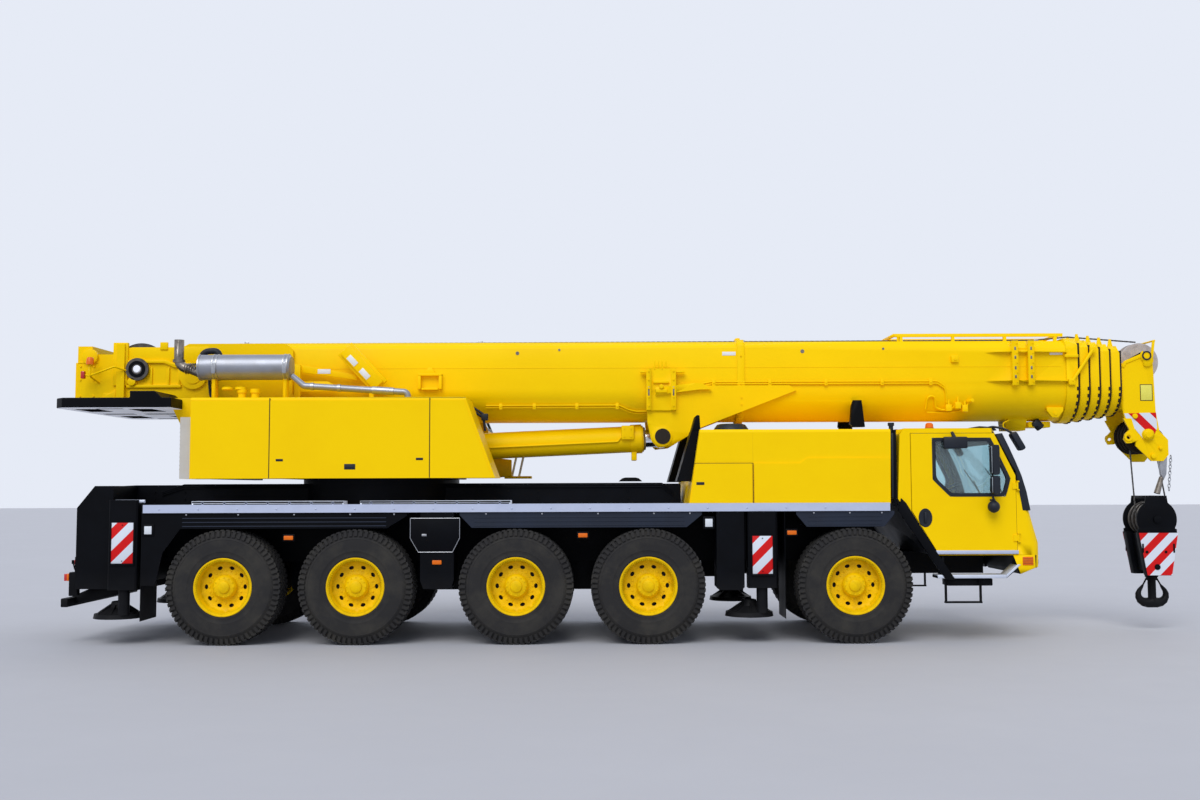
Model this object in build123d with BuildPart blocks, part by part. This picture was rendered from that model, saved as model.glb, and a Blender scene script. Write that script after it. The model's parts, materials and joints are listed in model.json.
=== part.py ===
from build123d import *
import math
import os

# Mobile crane: a five-axle all-terrain carrier, every wheel steered, with a slewing
# superstructure and a six-part telescopic boom, folded down for the road.
# Millimetres. +X runs forward to the driver's cab, +Y to the left, +Z up from the ground.
# The origin lies on the ground, under the middle of the overall box.

os.makedirs("parts", exist_ok=True)

# ---------------------------------------------------------------- driving dimensions
RUN_FIT = 0.4            # gap left at a seat, a pin or a slide pad
MOVE_GAP = 12.0          # least gap between pieces that pass each other

# wheels and axles
AXLE_X = (2805.0, 225.0, -1425.0, -3425.0, -5075.0)
WHEEL_Y = 1218.0         # middle plane of a wheel, from the centre line
TYRE_R = 717.0
TYRE_W = 440.0
RIM_R = 365.0
RIM_W = 400.0
BEAD_R = 338.0
RIM_WALL = 18.0
DISC_Y = 45.0            # wheel disc, outboard of the middle plane
DISC_T = 22.0
HAND_HOLES = 10
HAND_HOLE_R = 26.0
HAND_HOLE_PCR = 243.0
HUB_R = 150.0
HUB_CAP_Y = 150.0        # outer end of the hub's planet housing
SPINDLE_R = 95.0
KING_Y = 985.0           # kingpin, just inboard of the tyre
KING_R = 42.0
AXLE_EYE_R = 88.0
AXLE_EYE_H = 230.0
BEAM_H = 170.0
BEAM_D = 190.0
DIFF_R = 225.0

# carrier
FRAME_HALF = 420.0       # box frame between the wheels
FRAME_LOW = 975.0
FRAME_TOP = 1995.0
FRAME_REAR = -6983.0
FRAME_STEP_X = 700.0     # the frame drops here to pass below the hood
DECK_Z = 1735.0
DECK_T = 16.0
DECK_HALF = 1405.0
RAIL_LOW = 1643.0
RAIL_TOP = 1745.0
RAIL_T = 20.0
DECK_REAR = -6087.0
DECK_FRONT = 3252.0
SKIRT_LOW = 1447.0
SKIRT_Y = 1400.0
SKIRT_T = 14.0
HOOD_TOP = 2670.0
HOOD_REAR_X = 742.0      # foot of the hood's rear wall
HOOD_LEAN = 8.8          # lean of that wall, degrees

NOSE_X = 4700.0          # front end of the box frame, under the driver's cab
CAB_LOW = 1085.0
CAB_HALF = 1375.0
CAB_WALL = 40.0
CAB_FRONT = 5150.0       # bumper's front face
HINGE = (4856.0, CAB_HALF + 17)  # pin of the cab doors' hinges, X and distance from the centre line
HINGE_Z = (1300.0, 1950.0)
HINGE_PIN_R = 8.0
TOW_HALF = 60.0          # half width of the towing eye's pocket
TOW_PIN_R = 26.0

# outriggers
JACK_X = (1648.0, -6328.0)
CASING_L = 360.0         # along the carrier
CASING_OUT = 1440.0
CASING_IN = 1240.0
CASING_LOW = 690.0
BEAM_LOW = 1060.0
BEAM_TALL = 380.0
BEAM_WIDE = 160.0
BEAM_OFF = 92.0          # right and left beams lie side by side
BEAM_REACH = 2420.0      # length of beam inboard of the jack casing
JACK_R = 70.0
PAD_R = 305.0
PAD_LOW = 325.0
PAD_T = 55.0
PAD_SHIFT_X = -140.0     # pads are pushed in under the box for the road
PAD_Y = 1130.0

# superstructure
SLEW_X = -3344.0
RING_R = 1045.0
RING_T = 45.0
PIVOT = (-5790.0, 3450.0)      # boom foot pin, X and Z
PIVOT_R = 110.0
LUFF_FOOT = (-4770.0, 2388.0)  # foot pin of the luffing cylinder
LUFF_EYE = (462.0, 2621.0)     # its rod's eye, below the boom
LUFF_PIN_R = 75.0
EYE_HALF = 130.0         # half width of the cylinder's two eyes
BARREL_R = 180.0
BARREL_BORE = 150.0
ROD_R = 122.0
GLAND_BACK = 244.0       # from the rod's eye back to the gland
UPRIGHT_T = 45.0

# boom
BOOM_HALF = 430.0
BOOM_TOP = 3900.0
BOOM_ARC_Z = 3260.0      # centre of the round lower half
BOOM_BEVEL = 105.0
FOOT_R = 335.0           # rounded foot about the pin
BOOM_FRONT = 5871.0      # rear face of the first collar
BOOM_WALL = 12.0
SECTION_STEP = 24.0      # each section is smaller all round by this
SECTION_WALL = 10.0
SECTIONS = 5
SECTION_REAR = -5400.0
COLLAR_L = 146.0
COLLAR_PITCH = 150.0
COLLAR_WALL = 30.0
BAND_X = 1468.0          # rear edge of the band round the boom
BAND_W = 96.0
BAND_T = 26.0
BRACKET_T = 44.0

# head, ropes and hook block
HEAD_X = 6668.0
HEAD_PLATE_Y = 280.0     # inner faces of the two head plates
HEAD_PLATE_T = 30.0
HEAD_SIDE = ((6674.0, 3560.0), (6710.0, 3625.0), (6960.0, 3725.0), (7090.0, 3660.0),
             (7108.0, 2950.0), (7150.0, 2680.0), (7262.0, 2560.0), (7262.0, 2360.0),
             (7190.0, 2275.0), (6800.0, 2275.0), (6720.0, 2480.0), (6674.0, 2790.0))
TOP_SHEAVE = (7005.0, 3635.0)
TOP_SHEAVE_R = 285.0
LOW_SHEAVE = (7110.0, 2560.0)
LOW_SHEAVE_R = 180.0
SHEAVE_T = 44.0
SHEAVE_PIN_R = 50.0
SHEAVE_Y = (-120.0, -40.0, 40.0, 120.0)
SHEAVE_GROOVE = 17.6
ROPE_R = 11.0
BLOCK_TOP = 1815.0
BLOCK_LOW = 742.0
BLOCK_HALF = 262.0       # half thickness across the crane
BLOCK_SHEAVE_Z = 1520.0
BLOCK_SHEAVE_R = LOW_SHEAVE_R
HOOK_SHANK_R = 50.0
JIB_PIN_R = 32.0
HOOK_SEAT_Z = 900.0

SIDES = (("right", -1), ("left", 1))


# ---------------------------------------------------------------- drawing helpers
def block(x, y, z, mode=Mode.ADD):
    """Put a box between the pairs of limits x, y and z into the open part."""
    with Locations(((x[0] + x[1]) / 2, (y[0] + y[1]) / 2, (z[0] + z[1]) / 2)):
        Box(x[1] - x[0], y[1] - y[0], z[1] - z[0], mode=mode)


def slab(outline, y_low, y_high, mode=Mode.ADD):
    """Extrude an X-Z outline across the crane, from y_low to y_high."""
    with BuildSketch(Plane.XZ.offset(-y_high)) as section:
        with BuildLine():
            Polyline(*outline, close=True)
        make_face()
    extrude(section.sketch, amount=y_high - y_low, mode=mode)


def rod(x, z, radius, y_low, y_high, mode=Mode.ADD):
    """Put a round bar that lies across the crane into the open part."""
    with BuildSketch(Plane.XZ.offset(-y_high)) as section:
        with Locations((x, z)):
            Circle(radius)
    extrude(section.sketch, amount=y_high - y_low, mode=mode)


def post(x, y, radius, z_low, z_high, mode=Mode.ADD):
    """Put an upright round bar into the open part."""
    with BuildSketch(Plane.XY.offset(z_low)) as section:
        with Locations((x, y)):
            Circle(radius)
    extrude(section.sketch, amount=z_high - z_low, mode=mode)


def bar_x(y, z, radius, x_low, x_high, mode=Mode.ADD):
    """Put a round bar that lies along the crane into the open part."""
    with BuildSketch(Plane.YZ.offset(x_low)) as section:
        with Locations((y, z)):
            Circle(radius)
    extrude(section.sketch, amount=x_high - x_low, mode=mode)


def span(side, inner, outer):
    """Pair of Y limits on one side of the crane, low value first."""
    return tuple(sorted((side * inner, side * outer)))


def save(name, part):
    """Label a finished piece and write it as its own STEP file."""
    part.label = name
    export_step(part, f"parts/{name}.step")


# ---------------------------------------------------------------- wheels and axles
def wheel(axle_x, side):
    """Tyre and steel wheel with its planetary hub, turned about the stub axle."""
    centre = (axle_x, side * WHEEL_Y, TYRE_R)
    # local x is the radius, local y points outboard
    radial = Plane(origin=centre, x_dir=(0, 0, 1), z_dir=(-side, 0, 0))
    axle = Axis(centre, (0, side, 0))
    half_w, half_t, flange = RIM_W / 2, TYRE_W / 2, 16.0
    bore = SPINDLE_R + RUN_FIT
    inner = BEAD_R - RIM_WALL
    with BuildPart() as assembly:
        with BuildSketch(radial) as tyre_section:
            with BuildLine():
                Polyline(
                    (BEAD_R + RUN_FIT, half_w - flange - RUN_FIT),
                    (0.72 * TYRE_R, half_t),
                    (0.90 * TYRE_R, half_t - 6),
                    (TYRE_R, half_t - 52),
                    (TYRE_R, 52 - half_t),
                    (0.90 * TYRE_R, 6 - half_t),
                    (0.72 * TYRE_R, -half_t),
                    (BEAD_R + RUN_FIT, flange + RUN_FIT - half_w),
                    close=True,
                )
            make_face()
        revolve(tyre_section.sketch, axis=axle)
        with BuildSketch(radial) as rim_section:
            with BuildLine():
                Polyline(
                    (RIM_R, half_w), (RIM_R, half_w - flange),
                    (BEAD_R, half_w - flange), (BEAD_R, flange - half_w),
                    (RIM_R, flange - half_w), (RIM_R, -half_w),
                    (inner, -half_w), (inner, DISC_Y),
                    (HUB_R, DISC_Y), (HUB_R, -95), (bore, -95), (bore, 95),
                    (0, 95), (0, HUB_CAP_Y), (HUB_R - 25, HUB_CAP_Y),
                    (HUB_R, HUB_CAP_Y - 40), (HUB_R, DISC_Y + DISC_T),
                    (inner, DISC_Y + DISC_T), (inner, half_w),
                    close=True,
                )
            make_face()
        revolve(rim_section.sketch, axis=axle)
        disc_plane = Plane(
            origin=(axle_x, side * (WHEEL_Y + DISC_Y + DISC_T / 2), TYRE_R),
            x_dir=(1, 0, 0), z_dir=(0, side, 0),
        )
        with BuildSketch(disc_plane) as hand_holes:
            with PolarLocations(HAND_HOLE_PCR, HAND_HOLES):
                Circle(HAND_HOLE_R)
        extrude(hand_holes.sketch, amount=DISC_T, both=True, mode=Mode.SUBTRACT)
    return assembly.part


def knuckle(axle_x, side):
    """Steering knuckle: kingpin, yoke round the axle's eye, flange and spindle."""
    z = TYRE_R
    eye_half = AXLE_EYE_H / 2
    arm_low, arm_high = eye_half + RUN_FIT, eye_half + 62
    flange_y = KING_Y + AXLE_EYE_R + MOVE_GAP
    with BuildPart() as assembly:
        post(axle_x, side * KING_Y, KING_R, z - arm_high - 20, z + arm_high + 20)
        for up in (-1, 1):
            level = sorted((z + up * arm_low, z + up * arm_high))
            block((axle_x - 72, axle_x + 72), span(side, KING_Y - 62, flange_y + 5), level)
        rod(axle_x, z, 205, *span(side, flange_y, flange_y + 32))
        spindle_end = WHEEL_Y + 88
        rod(axle_x, z, SPINDLE_R, *span(side, flange_y + 30, spindle_end))
        # steering arm, reaching back and inboard for the track rod
        block((axle_x - 260, axle_x - 60), span(side, KING_Y - 60, KING_Y - 10),
              (z - arm_high, z - arm_high + 34))
        for end in (assembly.part.edges().filter_by(GeomType.CIRCLE)
                    .sort_by(Axis.Y)[-1 if side > 0 else 0],):
            chamfer(end, 6)
    return assembly.part


def axle_beams():
    """Five rigid axle casings, each with its differential and two kingpin eyes."""
    z = TYRE_R
    with BuildPart() as assembly:
        for axle_x in AXLE_X:
            reach = KING_Y - 40
            block((axle_x - BEAM_D / 2, axle_x + BEAM_D / 2), (-reach, reach),
                  (z - BEAM_H / 2, z + BEAM_H / 2))
            with Locations((axle_x, 0, z)):
                Sphere(DIFF_R)
            for _, side in SIDES:
                y = side * KING_Y
                post(axle_x, y, AXLE_EYE_R, z - AXLE_EYE_H / 2, z + AXLE_EYE_H / 2)
                post(axle_x, y, KING_R + RUN_FIT, z - AXLE_EYE_H, z + AXLE_EYE_H,
                     mode=Mode.SUBTRACT)
    return assembly.part


def suspension():
    """Hydropneumatic struts between the axle casings and the frame's brackets."""
    seat = TYRE_R + BEAM_H / 2 + RUN_FIT
    with BuildPart() as assembly:
        for axle_x in AXLE_X:
            for _, side in SIDES:
                y = side * 700
                post(axle_x, y, 45, seat, seat + 330)
                post(axle_x, y, 75, seat + 300, seat + 640)
                block((axle_x - 70, axle_x + 70), span(side, FRAME_HALF + RUN_FIT, 705),
                      (seat + 560, seat + 660))
    return assembly.part


# ---------------------------------------------------------------- carrier
def outrigger_tunnel(jack_x, side):
    """Box frame stretch that houses one pair of outrigger beams (its X, Y and Z limits)."""
    gap = 6.0
    centre = jack_x + side * BEAM_OFF
    return ((centre - BEAM_WIDE / 2 - gap, centre + BEAM_WIDE / 2 + gap),
            (-CASING_OUT, CASING_OUT),
            (BEAM_LOW - RUN_FIT, BEAM_LOW + BEAM_TALL + gap))


def chassis_frame():
    """Welded box frame with its two outrigger boxes, rear body and slewing ring seat."""
    rear_low, rear_high, chamfer_run = 690.0, 1709.0, 220.0
    nose_low = 800.0
    cab_floor = CAB_LOW - RUN_FIT
    with BuildPart() as frame:
        slab([(FRAME_REAR, FRAME_LOW), (FRAME_REAR, rear_high),
              (FRAME_REAR + chamfer_run, FRAME_TOP - 10), (FRAME_REAR + 2 * chamfer_run, FRAME_TOP),
              (FRAME_STEP_X, FRAME_TOP), (FRAME_STEP_X, 1690), (3250, 1690),
              (3250, cab_floor), (NOSE_X, cab_floor), (NOSE_X, nose_low),
              (3560, nose_low), (3400, FRAME_LOW)],
             -FRAME_HALF, FRAME_HALF)
        # rear body across the full width, behind the rear outriggers
        slab([(FRAME_REAR, rear_low), (FRAME_REAR, rear_high),
              (FRAME_REAR + chamfer_run, FRAME_TOP - 10), (JACK_X[1] - 200, FRAME_TOP - 10),
              (JACK_X[1] - 200, rear_low)],
             -1250, 1250)
        for jack_x in JACK_X:
            block((jack_x - 215, jack_x + 215), (-CASING_IN + 5, CASING_IN - 5),
                  (BEAM_LOW - 30, RAIL_LOW - 5))
        post(SLEW_X, 0, RING_R - 40, DECK_Z + RUN_FIT, FRAME_TOP + 8)
        post(SLEW_X, 0, RING_R, FRAME_TOP + 8, FRAME_TOP + 8 + RING_T)
        # opening in the ring for the hydraulic rotary joint
        post(SLEW_X, 0, RING_R - 230, FRAME_TOP - 60, FRAME_TOP + 100, mode=Mode.SUBTRACT)
        for jack_x in JACK_X:
            for _, side in SIDES:
                block(*outrigger_tunnel(jack_x, side), mode=Mode.SUBTRACT)
    return frame.part


def outrigger(jack_x, side):
    """Sliding outrigger beam with the support jack, its foot and the stowed pad."""
    beam_x = jack_x + side * BEAM_OFF
    casing_top = RAIL_LOW - 8 if jack_x > 0 else 1809.0
    jack_y = (CASING_IN + CASING_OUT) / 2
    pad_top = PAD_LOW + PAD_T
    with BuildPart() as arm:
        block((beam_x - BEAM_WIDE / 2, beam_x + BEAM_WIDE / 2),
              span(side, CASING_IN - BEAM_REACH, CASING_IN + 20),
              (BEAM_LOW, BEAM_LOW + BEAM_TALL))
        block((jack_x - CASING_L / 2, jack_x + CASING_L / 2), span(side, CASING_IN, CASING_OUT),
              (CASING_LOW, casing_top))
        chamfer(arm.part.edges().filter_by(Axis.Z)
                .filter_by(lambda edge: abs(edge.center().Y) > CASING_OUT - 1), 18)
        post(jack_x, side * jack_y, JACK_R, pad_top - 5, CASING_LOW + 5)
        pad_x = jack_x + PAD_SHIFT_X
        with BuildSketch(Plane.XY.offset(PAD_LOW)) as pad_foot:
            with Locations((pad_x, side * PAD_Y)):
                Circle(PAD_R)
        extrude(pad_foot.sketch, amount=PAD_T, taper=12)
        post(jack_x, side * (jack_y - 90), JACK_R + 35, PAD_LOW + 20, pad_top + 22)
    return arm.part


def carrier_deck():
    """Chequer-plate deck beside the frame with the edge rails, ladders and rear beam."""
    ladders = ((-5500.0, -3590.0), (-3385.0, -1496.0))   # rear and front end of each ladder
    with BuildPart() as deck:
        for _, side in SIDES:
            block((DECK_REAR, DECK_FRONT), span(side, FRAME_HALF + RUN_FIT, DECK_HALF),
                  (DECK_Z - DECK_T, DECK_Z))
            block((DECK_REAR, DECK_FRONT), span(side, DECK_HALF - 1, DECK_HALF + RAIL_T),
                  (RAIL_LOW, RAIL_TOP))
            # cross members that carry the deck from the frame
            for x in range(-5900, 3200, 700):
                if abs(x - JACK_X[0]) > 300:
                    block((x - 30, x + 30), span(side, FRAME_HALF + RUN_FIT, DECK_HALF),
                          (RAIL_LOW, DECK_Z - DECK_T + 1))
            for rear, front in ladders:
                for y in (1120, 1330):
                    block((rear, front), span(side, y, y + 26), (DECK_Z - 1, DECK_Z + 52))
                rungs = 7
                for i in range(rungs):
                    x = rear + (i + 0.5) * (front - rear) / rungs
                    rod(x, DECK_Z + 28, 14, *span(side, 1130, 1340))
    return deck.part


def mudguards():
    """Side skirts over the wheels, wing plates, lockers and the transverse flaps."""
    # rear end, front end and end bevels of each skirt
    skirts = ((-5960.0, -2790.0, 330.0, 250.0), (-2130.0, 900.0, 150.0, 190.0),
              (2080.0, 3310.0, 130.0, 130.0))
    with BuildPart() as guards:
        for _, side in SIDES:
            top = RAIL_LOW - RUN_FIT
            for rear, front, rear_cut, front_cut in skirts:
                slab([(rear, top), (front, top), (front, top - 40),
                      (front - front_cut, SKIRT_LOW), (rear + rear_cut, SKIRT_LOW),
                      (rear, top - 40)],
                     *span(side, SKIRT_Y - SKIRT_T, SKIRT_Y))
                # wing plate above the tyres, with a lip down from the deck beams
                block((rear + rear_cut, front - front_cut), span(side, 820, SKIRT_Y - SKIRT_T + 1),
                      (SKIRT_LOW + 6, SKIRT_LOW + 14))
            # side plate that carries the rear flap
            slab([(-6110, top), (-5620, top), (-5620, SKIRT_LOW + 8), (-5840, 1150),
                  (-5930, 740), (-6110, 740)], *span(side, SKIRT_Y - SKIRT_T, SKIRT_Y))
            # locker between the third and fourth wheels
            slab([(-2620, top), (-2200, top), (-2200, 800),
                  (-2240, 690), (-2580, 690), (-2620, 800)], *span(side, 1010, SKIRT_Y + 12))
            # tank behind the front outrigger
            slab([(1080, top), (1425, top), (1425, 700),
                  (1390, 665), (1110, 665), (1080, 700)], *span(side, 1045, SKIRT_Y + 12))
            # flaps hang from brackets in front of the rear jacks and behind the first wheels
            deck_under = DECK_Z - DECK_T - RUN_FIT
            for flap_x, low, high in ((-6104.0, 300.0, 1560.0), (1934.0, 310.0, deck_under)):
                block((flap_x - 4, flap_x + 4), span(side, 830, SKIRT_Y), (low, high))
    return guards.part


def hood_rear_x(z):
    """X of the engine hood's rear wall, which leans forward, at one height."""
    lean = math.radians(HOOD_LEAN)
    return HOOD_REAR_X + (z - DECK_Z) * math.tan(lean)


def carrier_hood():
    """Engine hood with its side seams and its rear wall that leans forward."""
    low, high, wall = DECK_Z + RUN_FIT, HOOD_TOP, 30.0
    rear_low, rear_high, front = hood_rear_x(low), hood_rear_x(high), 3285.0
    seam_x, step_low, step_high = 1549.0, 2240.0, 2306.0
    half = 1380.0
    with BuildPart() as hood:
        slab([(rear_low, low), (rear_high, high), (front, high), (front - 15, low)], -half, half)
        fillet(hood.part.faces().sort_by(Axis.Z)[-1].edges().filter_by(Axis.X), 45)
        slab([(rear_low + wall, low - 5), (rear_high + wall, high - wall),
              (front - wall, high - wall), (front - wall - 15, low - 5)],
             wall - half, half - wall, mode=Mode.SUBTRACT)
        for _, side in SIDES:
            # the lower door panels stand proud of the upper ones, with a stepped edge
            slab([(seam_x + 12, low), (seam_x + 12, step_low), (2140, step_low),
                  (2230, step_high), (front - 20, step_high), (front - 22, low)],
                 *span(side, half - 2, half + 14))
            slab([(rear_low + 20, low), (rear_low + 84, step_low), (seam_x - 12, step_low),
                  (seam_x - 12, low)], *span(side, half - 2, half + 14))
    return hood.part


def cooler_outlets():
    """Two upright ducts that lean forward with the hood's rear wall, clear of the boom's bracket."""
    low, high = 2020.0, HOOD_TOP - 10
    with BuildPart() as outlets:
        for _, side in SIDES:
            slab([(600, low), (790, high), (hood_rear_x(high) - RUN_FIT, high),
                  (hood_rear_x(low) - RUN_FIT, low)], *span(side, 850, 1240))
    return outlets.part


def intake_cap():
    """Round rain cap over the engine's air intake, standing on the hood's roof."""
    x, y, roof = 1360.0, -600.0, HOOD_TOP + RUN_FIT
    with BuildPart() as cap:
        post(x, y, 215, roof, roof + 45)
        post(x, y, 235, roof + 30, roof + 70)
        fillet(cap.part.edges().sort_by(Axis.Z)[-1], 12)
    return cap.part


def carrier_engine():
    """Engine and gearbox as one plain mass, standing on the frame under the hood."""
    with BuildPart() as engine:
        block((1250, 2950), (-400, 400), (1690 + RUN_FIT, 2450))
    return engine.part


# X and Z round the side of the driver's cab, from the roof's rear corner forwards
CAB_SIDE = ((3400.0, 2600.0), (3460.0, 2675.0), (4560.0, 2675.0), (4610.0, 2620.0),
            (5035.0, 1640.0), (5150.0, 1230.0), (5150.0, CAB_LOW),
            (3800.0, CAB_LOW), (3365.0, 1790.0))
DOOR_FRONT, DOOR_REAR = 4840.0, 3535.0
# X and Z round the driver's door, from the lower front corner upwards
DOOR_SIDE = ((DOOR_FRONT, 1100.0), (DOOR_FRONT, 2080.0), (4580.0, 2610.0),
             (DOOR_REAR, 2610.0), (DOOR_REAR, 1640.0), (3860.0, 1100.0))
DOOR_WINDOW = ((3800.0, 2555.0), (4540.0, 2555.0), (4780.0, 2040.0), (4715.0, 1815.0),
               (4015.0, 1815.0), (3800.0, 2030.0))


def inset(outline, by):
    """Outline moved inwards by one distance all round, in the X-Z plane."""
    with BuildSketch() as shape:
        with BuildLine():
            Polyline(*outline, close=True)
        make_face()
        offset(amount=-by, kind=Kind.INTERSECTION, mode=Mode.REPLACE)
    corners = shape.sketch.faces()[0].outer_wire().order_edges()
    return [(edge.start_point().X, edge.start_point().Y) for edge in corners]


def driver_cab():
    """Hollow steel cab with its floor, windscreen frame and two door openings."""
    with BuildPart() as cab:
        slab(CAB_SIDE, -CAB_HALF, CAB_HALF)
        fillet(cab.part.edges().filter_by(lambda edge: edge.center().X > 4600
                                          and abs(edge.center().Y) > CAB_HALF - 1), 70)
        slab(inset(CAB_SIDE, CAB_WALL), CAB_WALL - CAB_HALF, CAB_HALF - CAB_WALL,
             mode=Mode.SUBTRACT)
        for _, side in SIDES:
            slab(inset(DOOR_SIDE, -6), *span(side, CAB_HALF - CAB_WALL - 30, CAB_HALF + 80),
                 mode=Mode.SUBTRACT)
            # hinge brackets and pins in front of the door
            for z in HINGE_Z:
                for end in (-1, 1):
                    level = sorted((z + end * 42, z + end * 62))
                    block((DOOR_FRONT + 8, HINGE[0] + 24), span(side, CAB_HALF - 25, HINGE[1] + 12),
                          level)
                post(HINGE[0], side * HINGE[1], HINGE_PIN_R, z - 60, z + 60)
        # windscreen opening through the raked front
        slab([(4400, 2560), (4700, 2560), (5110, 1710), (4850, 1710)],
             -CAB_HALF + 110, CAB_HALF - 110, mode=Mode.SUBTRACT)
        # rear window
        block((3300, 3500), (-800, 800), (2050, 2450), mode=Mode.SUBTRACT)
        # sun visor lip above the windscreen
        slab([(4480, 2670), (4480, 2700), (4650, 2680), (4640, 2650)],
             225 - CAB_HALF, CAB_HALF - 225)
    return cab.part


def cab_interior():
    """Dashboard, steering wheel, two seats and the rear console."""
    floor = CAB_LOW + CAB_WALL + RUN_FIT
    with BuildPart() as inside:
        slab([(4860, floor), (4860, 1640), (4700, 1800), (4600, 1760), (4700, floor)],
             175 - CAB_HALF, CAB_HALF - 175)
        for y in (-700, 700):
            block((3950, 4400), (y - 250, y + 250), (floor, 1500))
            block((3920, 4440), (y - 260, y + 260), (1490, 1640))
            slab([(3850, 1560), (3990, 1560), (3900, 2260), (3780, 2260)], y - 250, y + 250)
        with BuildSketch(Plane(origin=(4560, 700, 1880), x_dir=(0, 1, 0),
                               z_dir=(-0.5, 0, 0.866))) as wheel_rim:
            Circle(220)
            Circle(190, mode=Mode.SUBTRACT)
            Rectangle(400, 34)
        extrude(wheel_rim.sketch, amount=28)
        slab([(4540, 1890), (4580, 1880), (4720, 1740), (4680, 1720)], 670, 730)
        block((3900, 4500), (-170, 170), (floor, 1480))
    return inside.part


def cab_door(side):
    """Driver's cab door as thick as the cab wall, with its window, handle and mirror."""
    outer = CAB_HALF + 8
    with BuildPart() as door:
        slab(DOOR_SIDE, *span(side, CAB_HALF - CAB_WALL, outer))
        slab(DOOR_WINDOW, *span(side, CAB_HALF - CAB_WALL - 10, outer + 10), mode=Mode.SUBTRACT)
        for z in HINGE_Z:
            x, y = HINGE
            block((x - 60, x), span(side, outer - 1, y + 4), (z - 40, z + 40))
            post(x, side * y, HINGE_PIN_R + 7, z - 40, z + 40)
            post(x, side * y, HINGE_PIN_R + RUN_FIT, z - 45, z + 45, mode=Mode.SUBTRACT)
        # recessed handle
        with BuildSketch(Plane.XZ.offset(-side * outer)) as handle:
            with Locations((3700, 1560)):
                Ellipse(72, 105)
        extrude(handle.sketch, amount=-side * 14 if side < 0 else 14, mode=Mode.SUBTRACT)
        # mirror arm and housings
        arm_y = span(side, outer - 1, outer + 95)
        block((4512, 4536), arm_y, (2430, 2454))
        block((4512, 4536), arm_y, (1760, 1784))
        mirror_y = span(side, outer + 60, outer + 200)
        block((4510, 4580), mirror_y, (2090, 2456))
        block((4510, 4580), mirror_y, (1850, 2070))
        block((4515, 4535), span(side, outer + 80, outer + 100), (1640, 2456))
        with Locations((4525, side * (outer + 110), 1690)):
            Sphere(75)
    return door.part


def front_bumper():
    """Bumper with its lamps' recesses, the cab steps, ladders and the towing eye's pocket."""
    step_in = CAB_HALF - 245
    with BuildPart() as bumper:
        slab([(CAB_FRONT - 272, 850), (CAB_FRONT - 3, 935), (CAB_FRONT, CAB_LOW - RUN_FIT),
              (CAB_FRONT - 360, CAB_LOW - RUN_FIT)],
             -CAB_HALF, CAB_HALF)
        fillet(bumper.part.edges().filter_by(lambda edge: edge.center().X > CAB_FRONT - 50
                                             and abs(edge.center().Y) > CAB_HALF - 1), 60)
        block((CAB_FRONT - 390, CAB_FRONT - 5), (-TOW_HALF, TOW_HALF), (850, 1000), mode=Mode.SUBTRACT)
        block((NOSE_X + RUN_FIT, CAB_FRONT - 40), (-TOW_HALF - 30, TOW_HALF + 30), (900, 990))
        block((CAB_FRONT - 350, CAB_FRONT + 10), (-TOW_HALF, TOW_HALF), (925, 965),
              mode=Mode.SUBTRACT)
        post(CAB_FRONT - 100, 0, TOW_PIN_R, 880, 1000, mode=Mode.SUBTRACT)
        for _, side in SIDES:
            # step below the door, with two hangers and a lower rung
            block((3838, 4700), span(side, step_in, CAB_HALF), (800, 830))
            slab([(4700, 800), (4700, 830), (4850, 960), (4900, 960)], *span(side, step_in, CAB_HALF))
            for x in (3946, 4380):
                block((x - 14, x + 14), span(side, CAB_HALF - 45, CAB_HALF - 25), (490, 805))
            block((3932, 4394), span(side, CAB_HALF - 65, CAB_HALF - 5), (490, 512))
            block((3900, 3930), span(side, step_in + 20, CAB_HALF - 20), (829, CAB_LOW - RUN_FIT))
    return bumper.part


# ---------------------------------------------------------------- superstructure
PLATFORM_LOW = FRAME_TOP + 8 + RING_T + RUN_FIT
PLATFORM_TOP = 2190.0
UPRIGHT_Y = BOOM_HALF + 15.0
BALLAST_TOP = 3100.0
TAIL_REAR = -7380.0
TAIL_LOW = BALLAST_TOP + RUN_FIT      # underside of the tail, where the ballast plate seats
WINCH = (-6528.0, 3535.0)
# X and Z round one upright, from the platform's front end up and back to the tail
UPRIGHT_SIDE = ((-2350.0, PLATFORM_TOP - 60), (-2300.0, 2265.0), (-3800.0, 2430.0),
                (-4470.0, 3200.0), (-4470.0, 3790.0), (-4560.0, 3880.0), (-5860.0, 3880.0),
                (-6120.0, 3740.0), (TAIL_REAR + 39, 3740.0), (TAIL_REAR + 39, TAIL_LOW),
                (-5778.0, TAIL_LOW), (-5665.0, 2770.0), (-5650.0, PLATFORM_TOP - 60))


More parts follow.
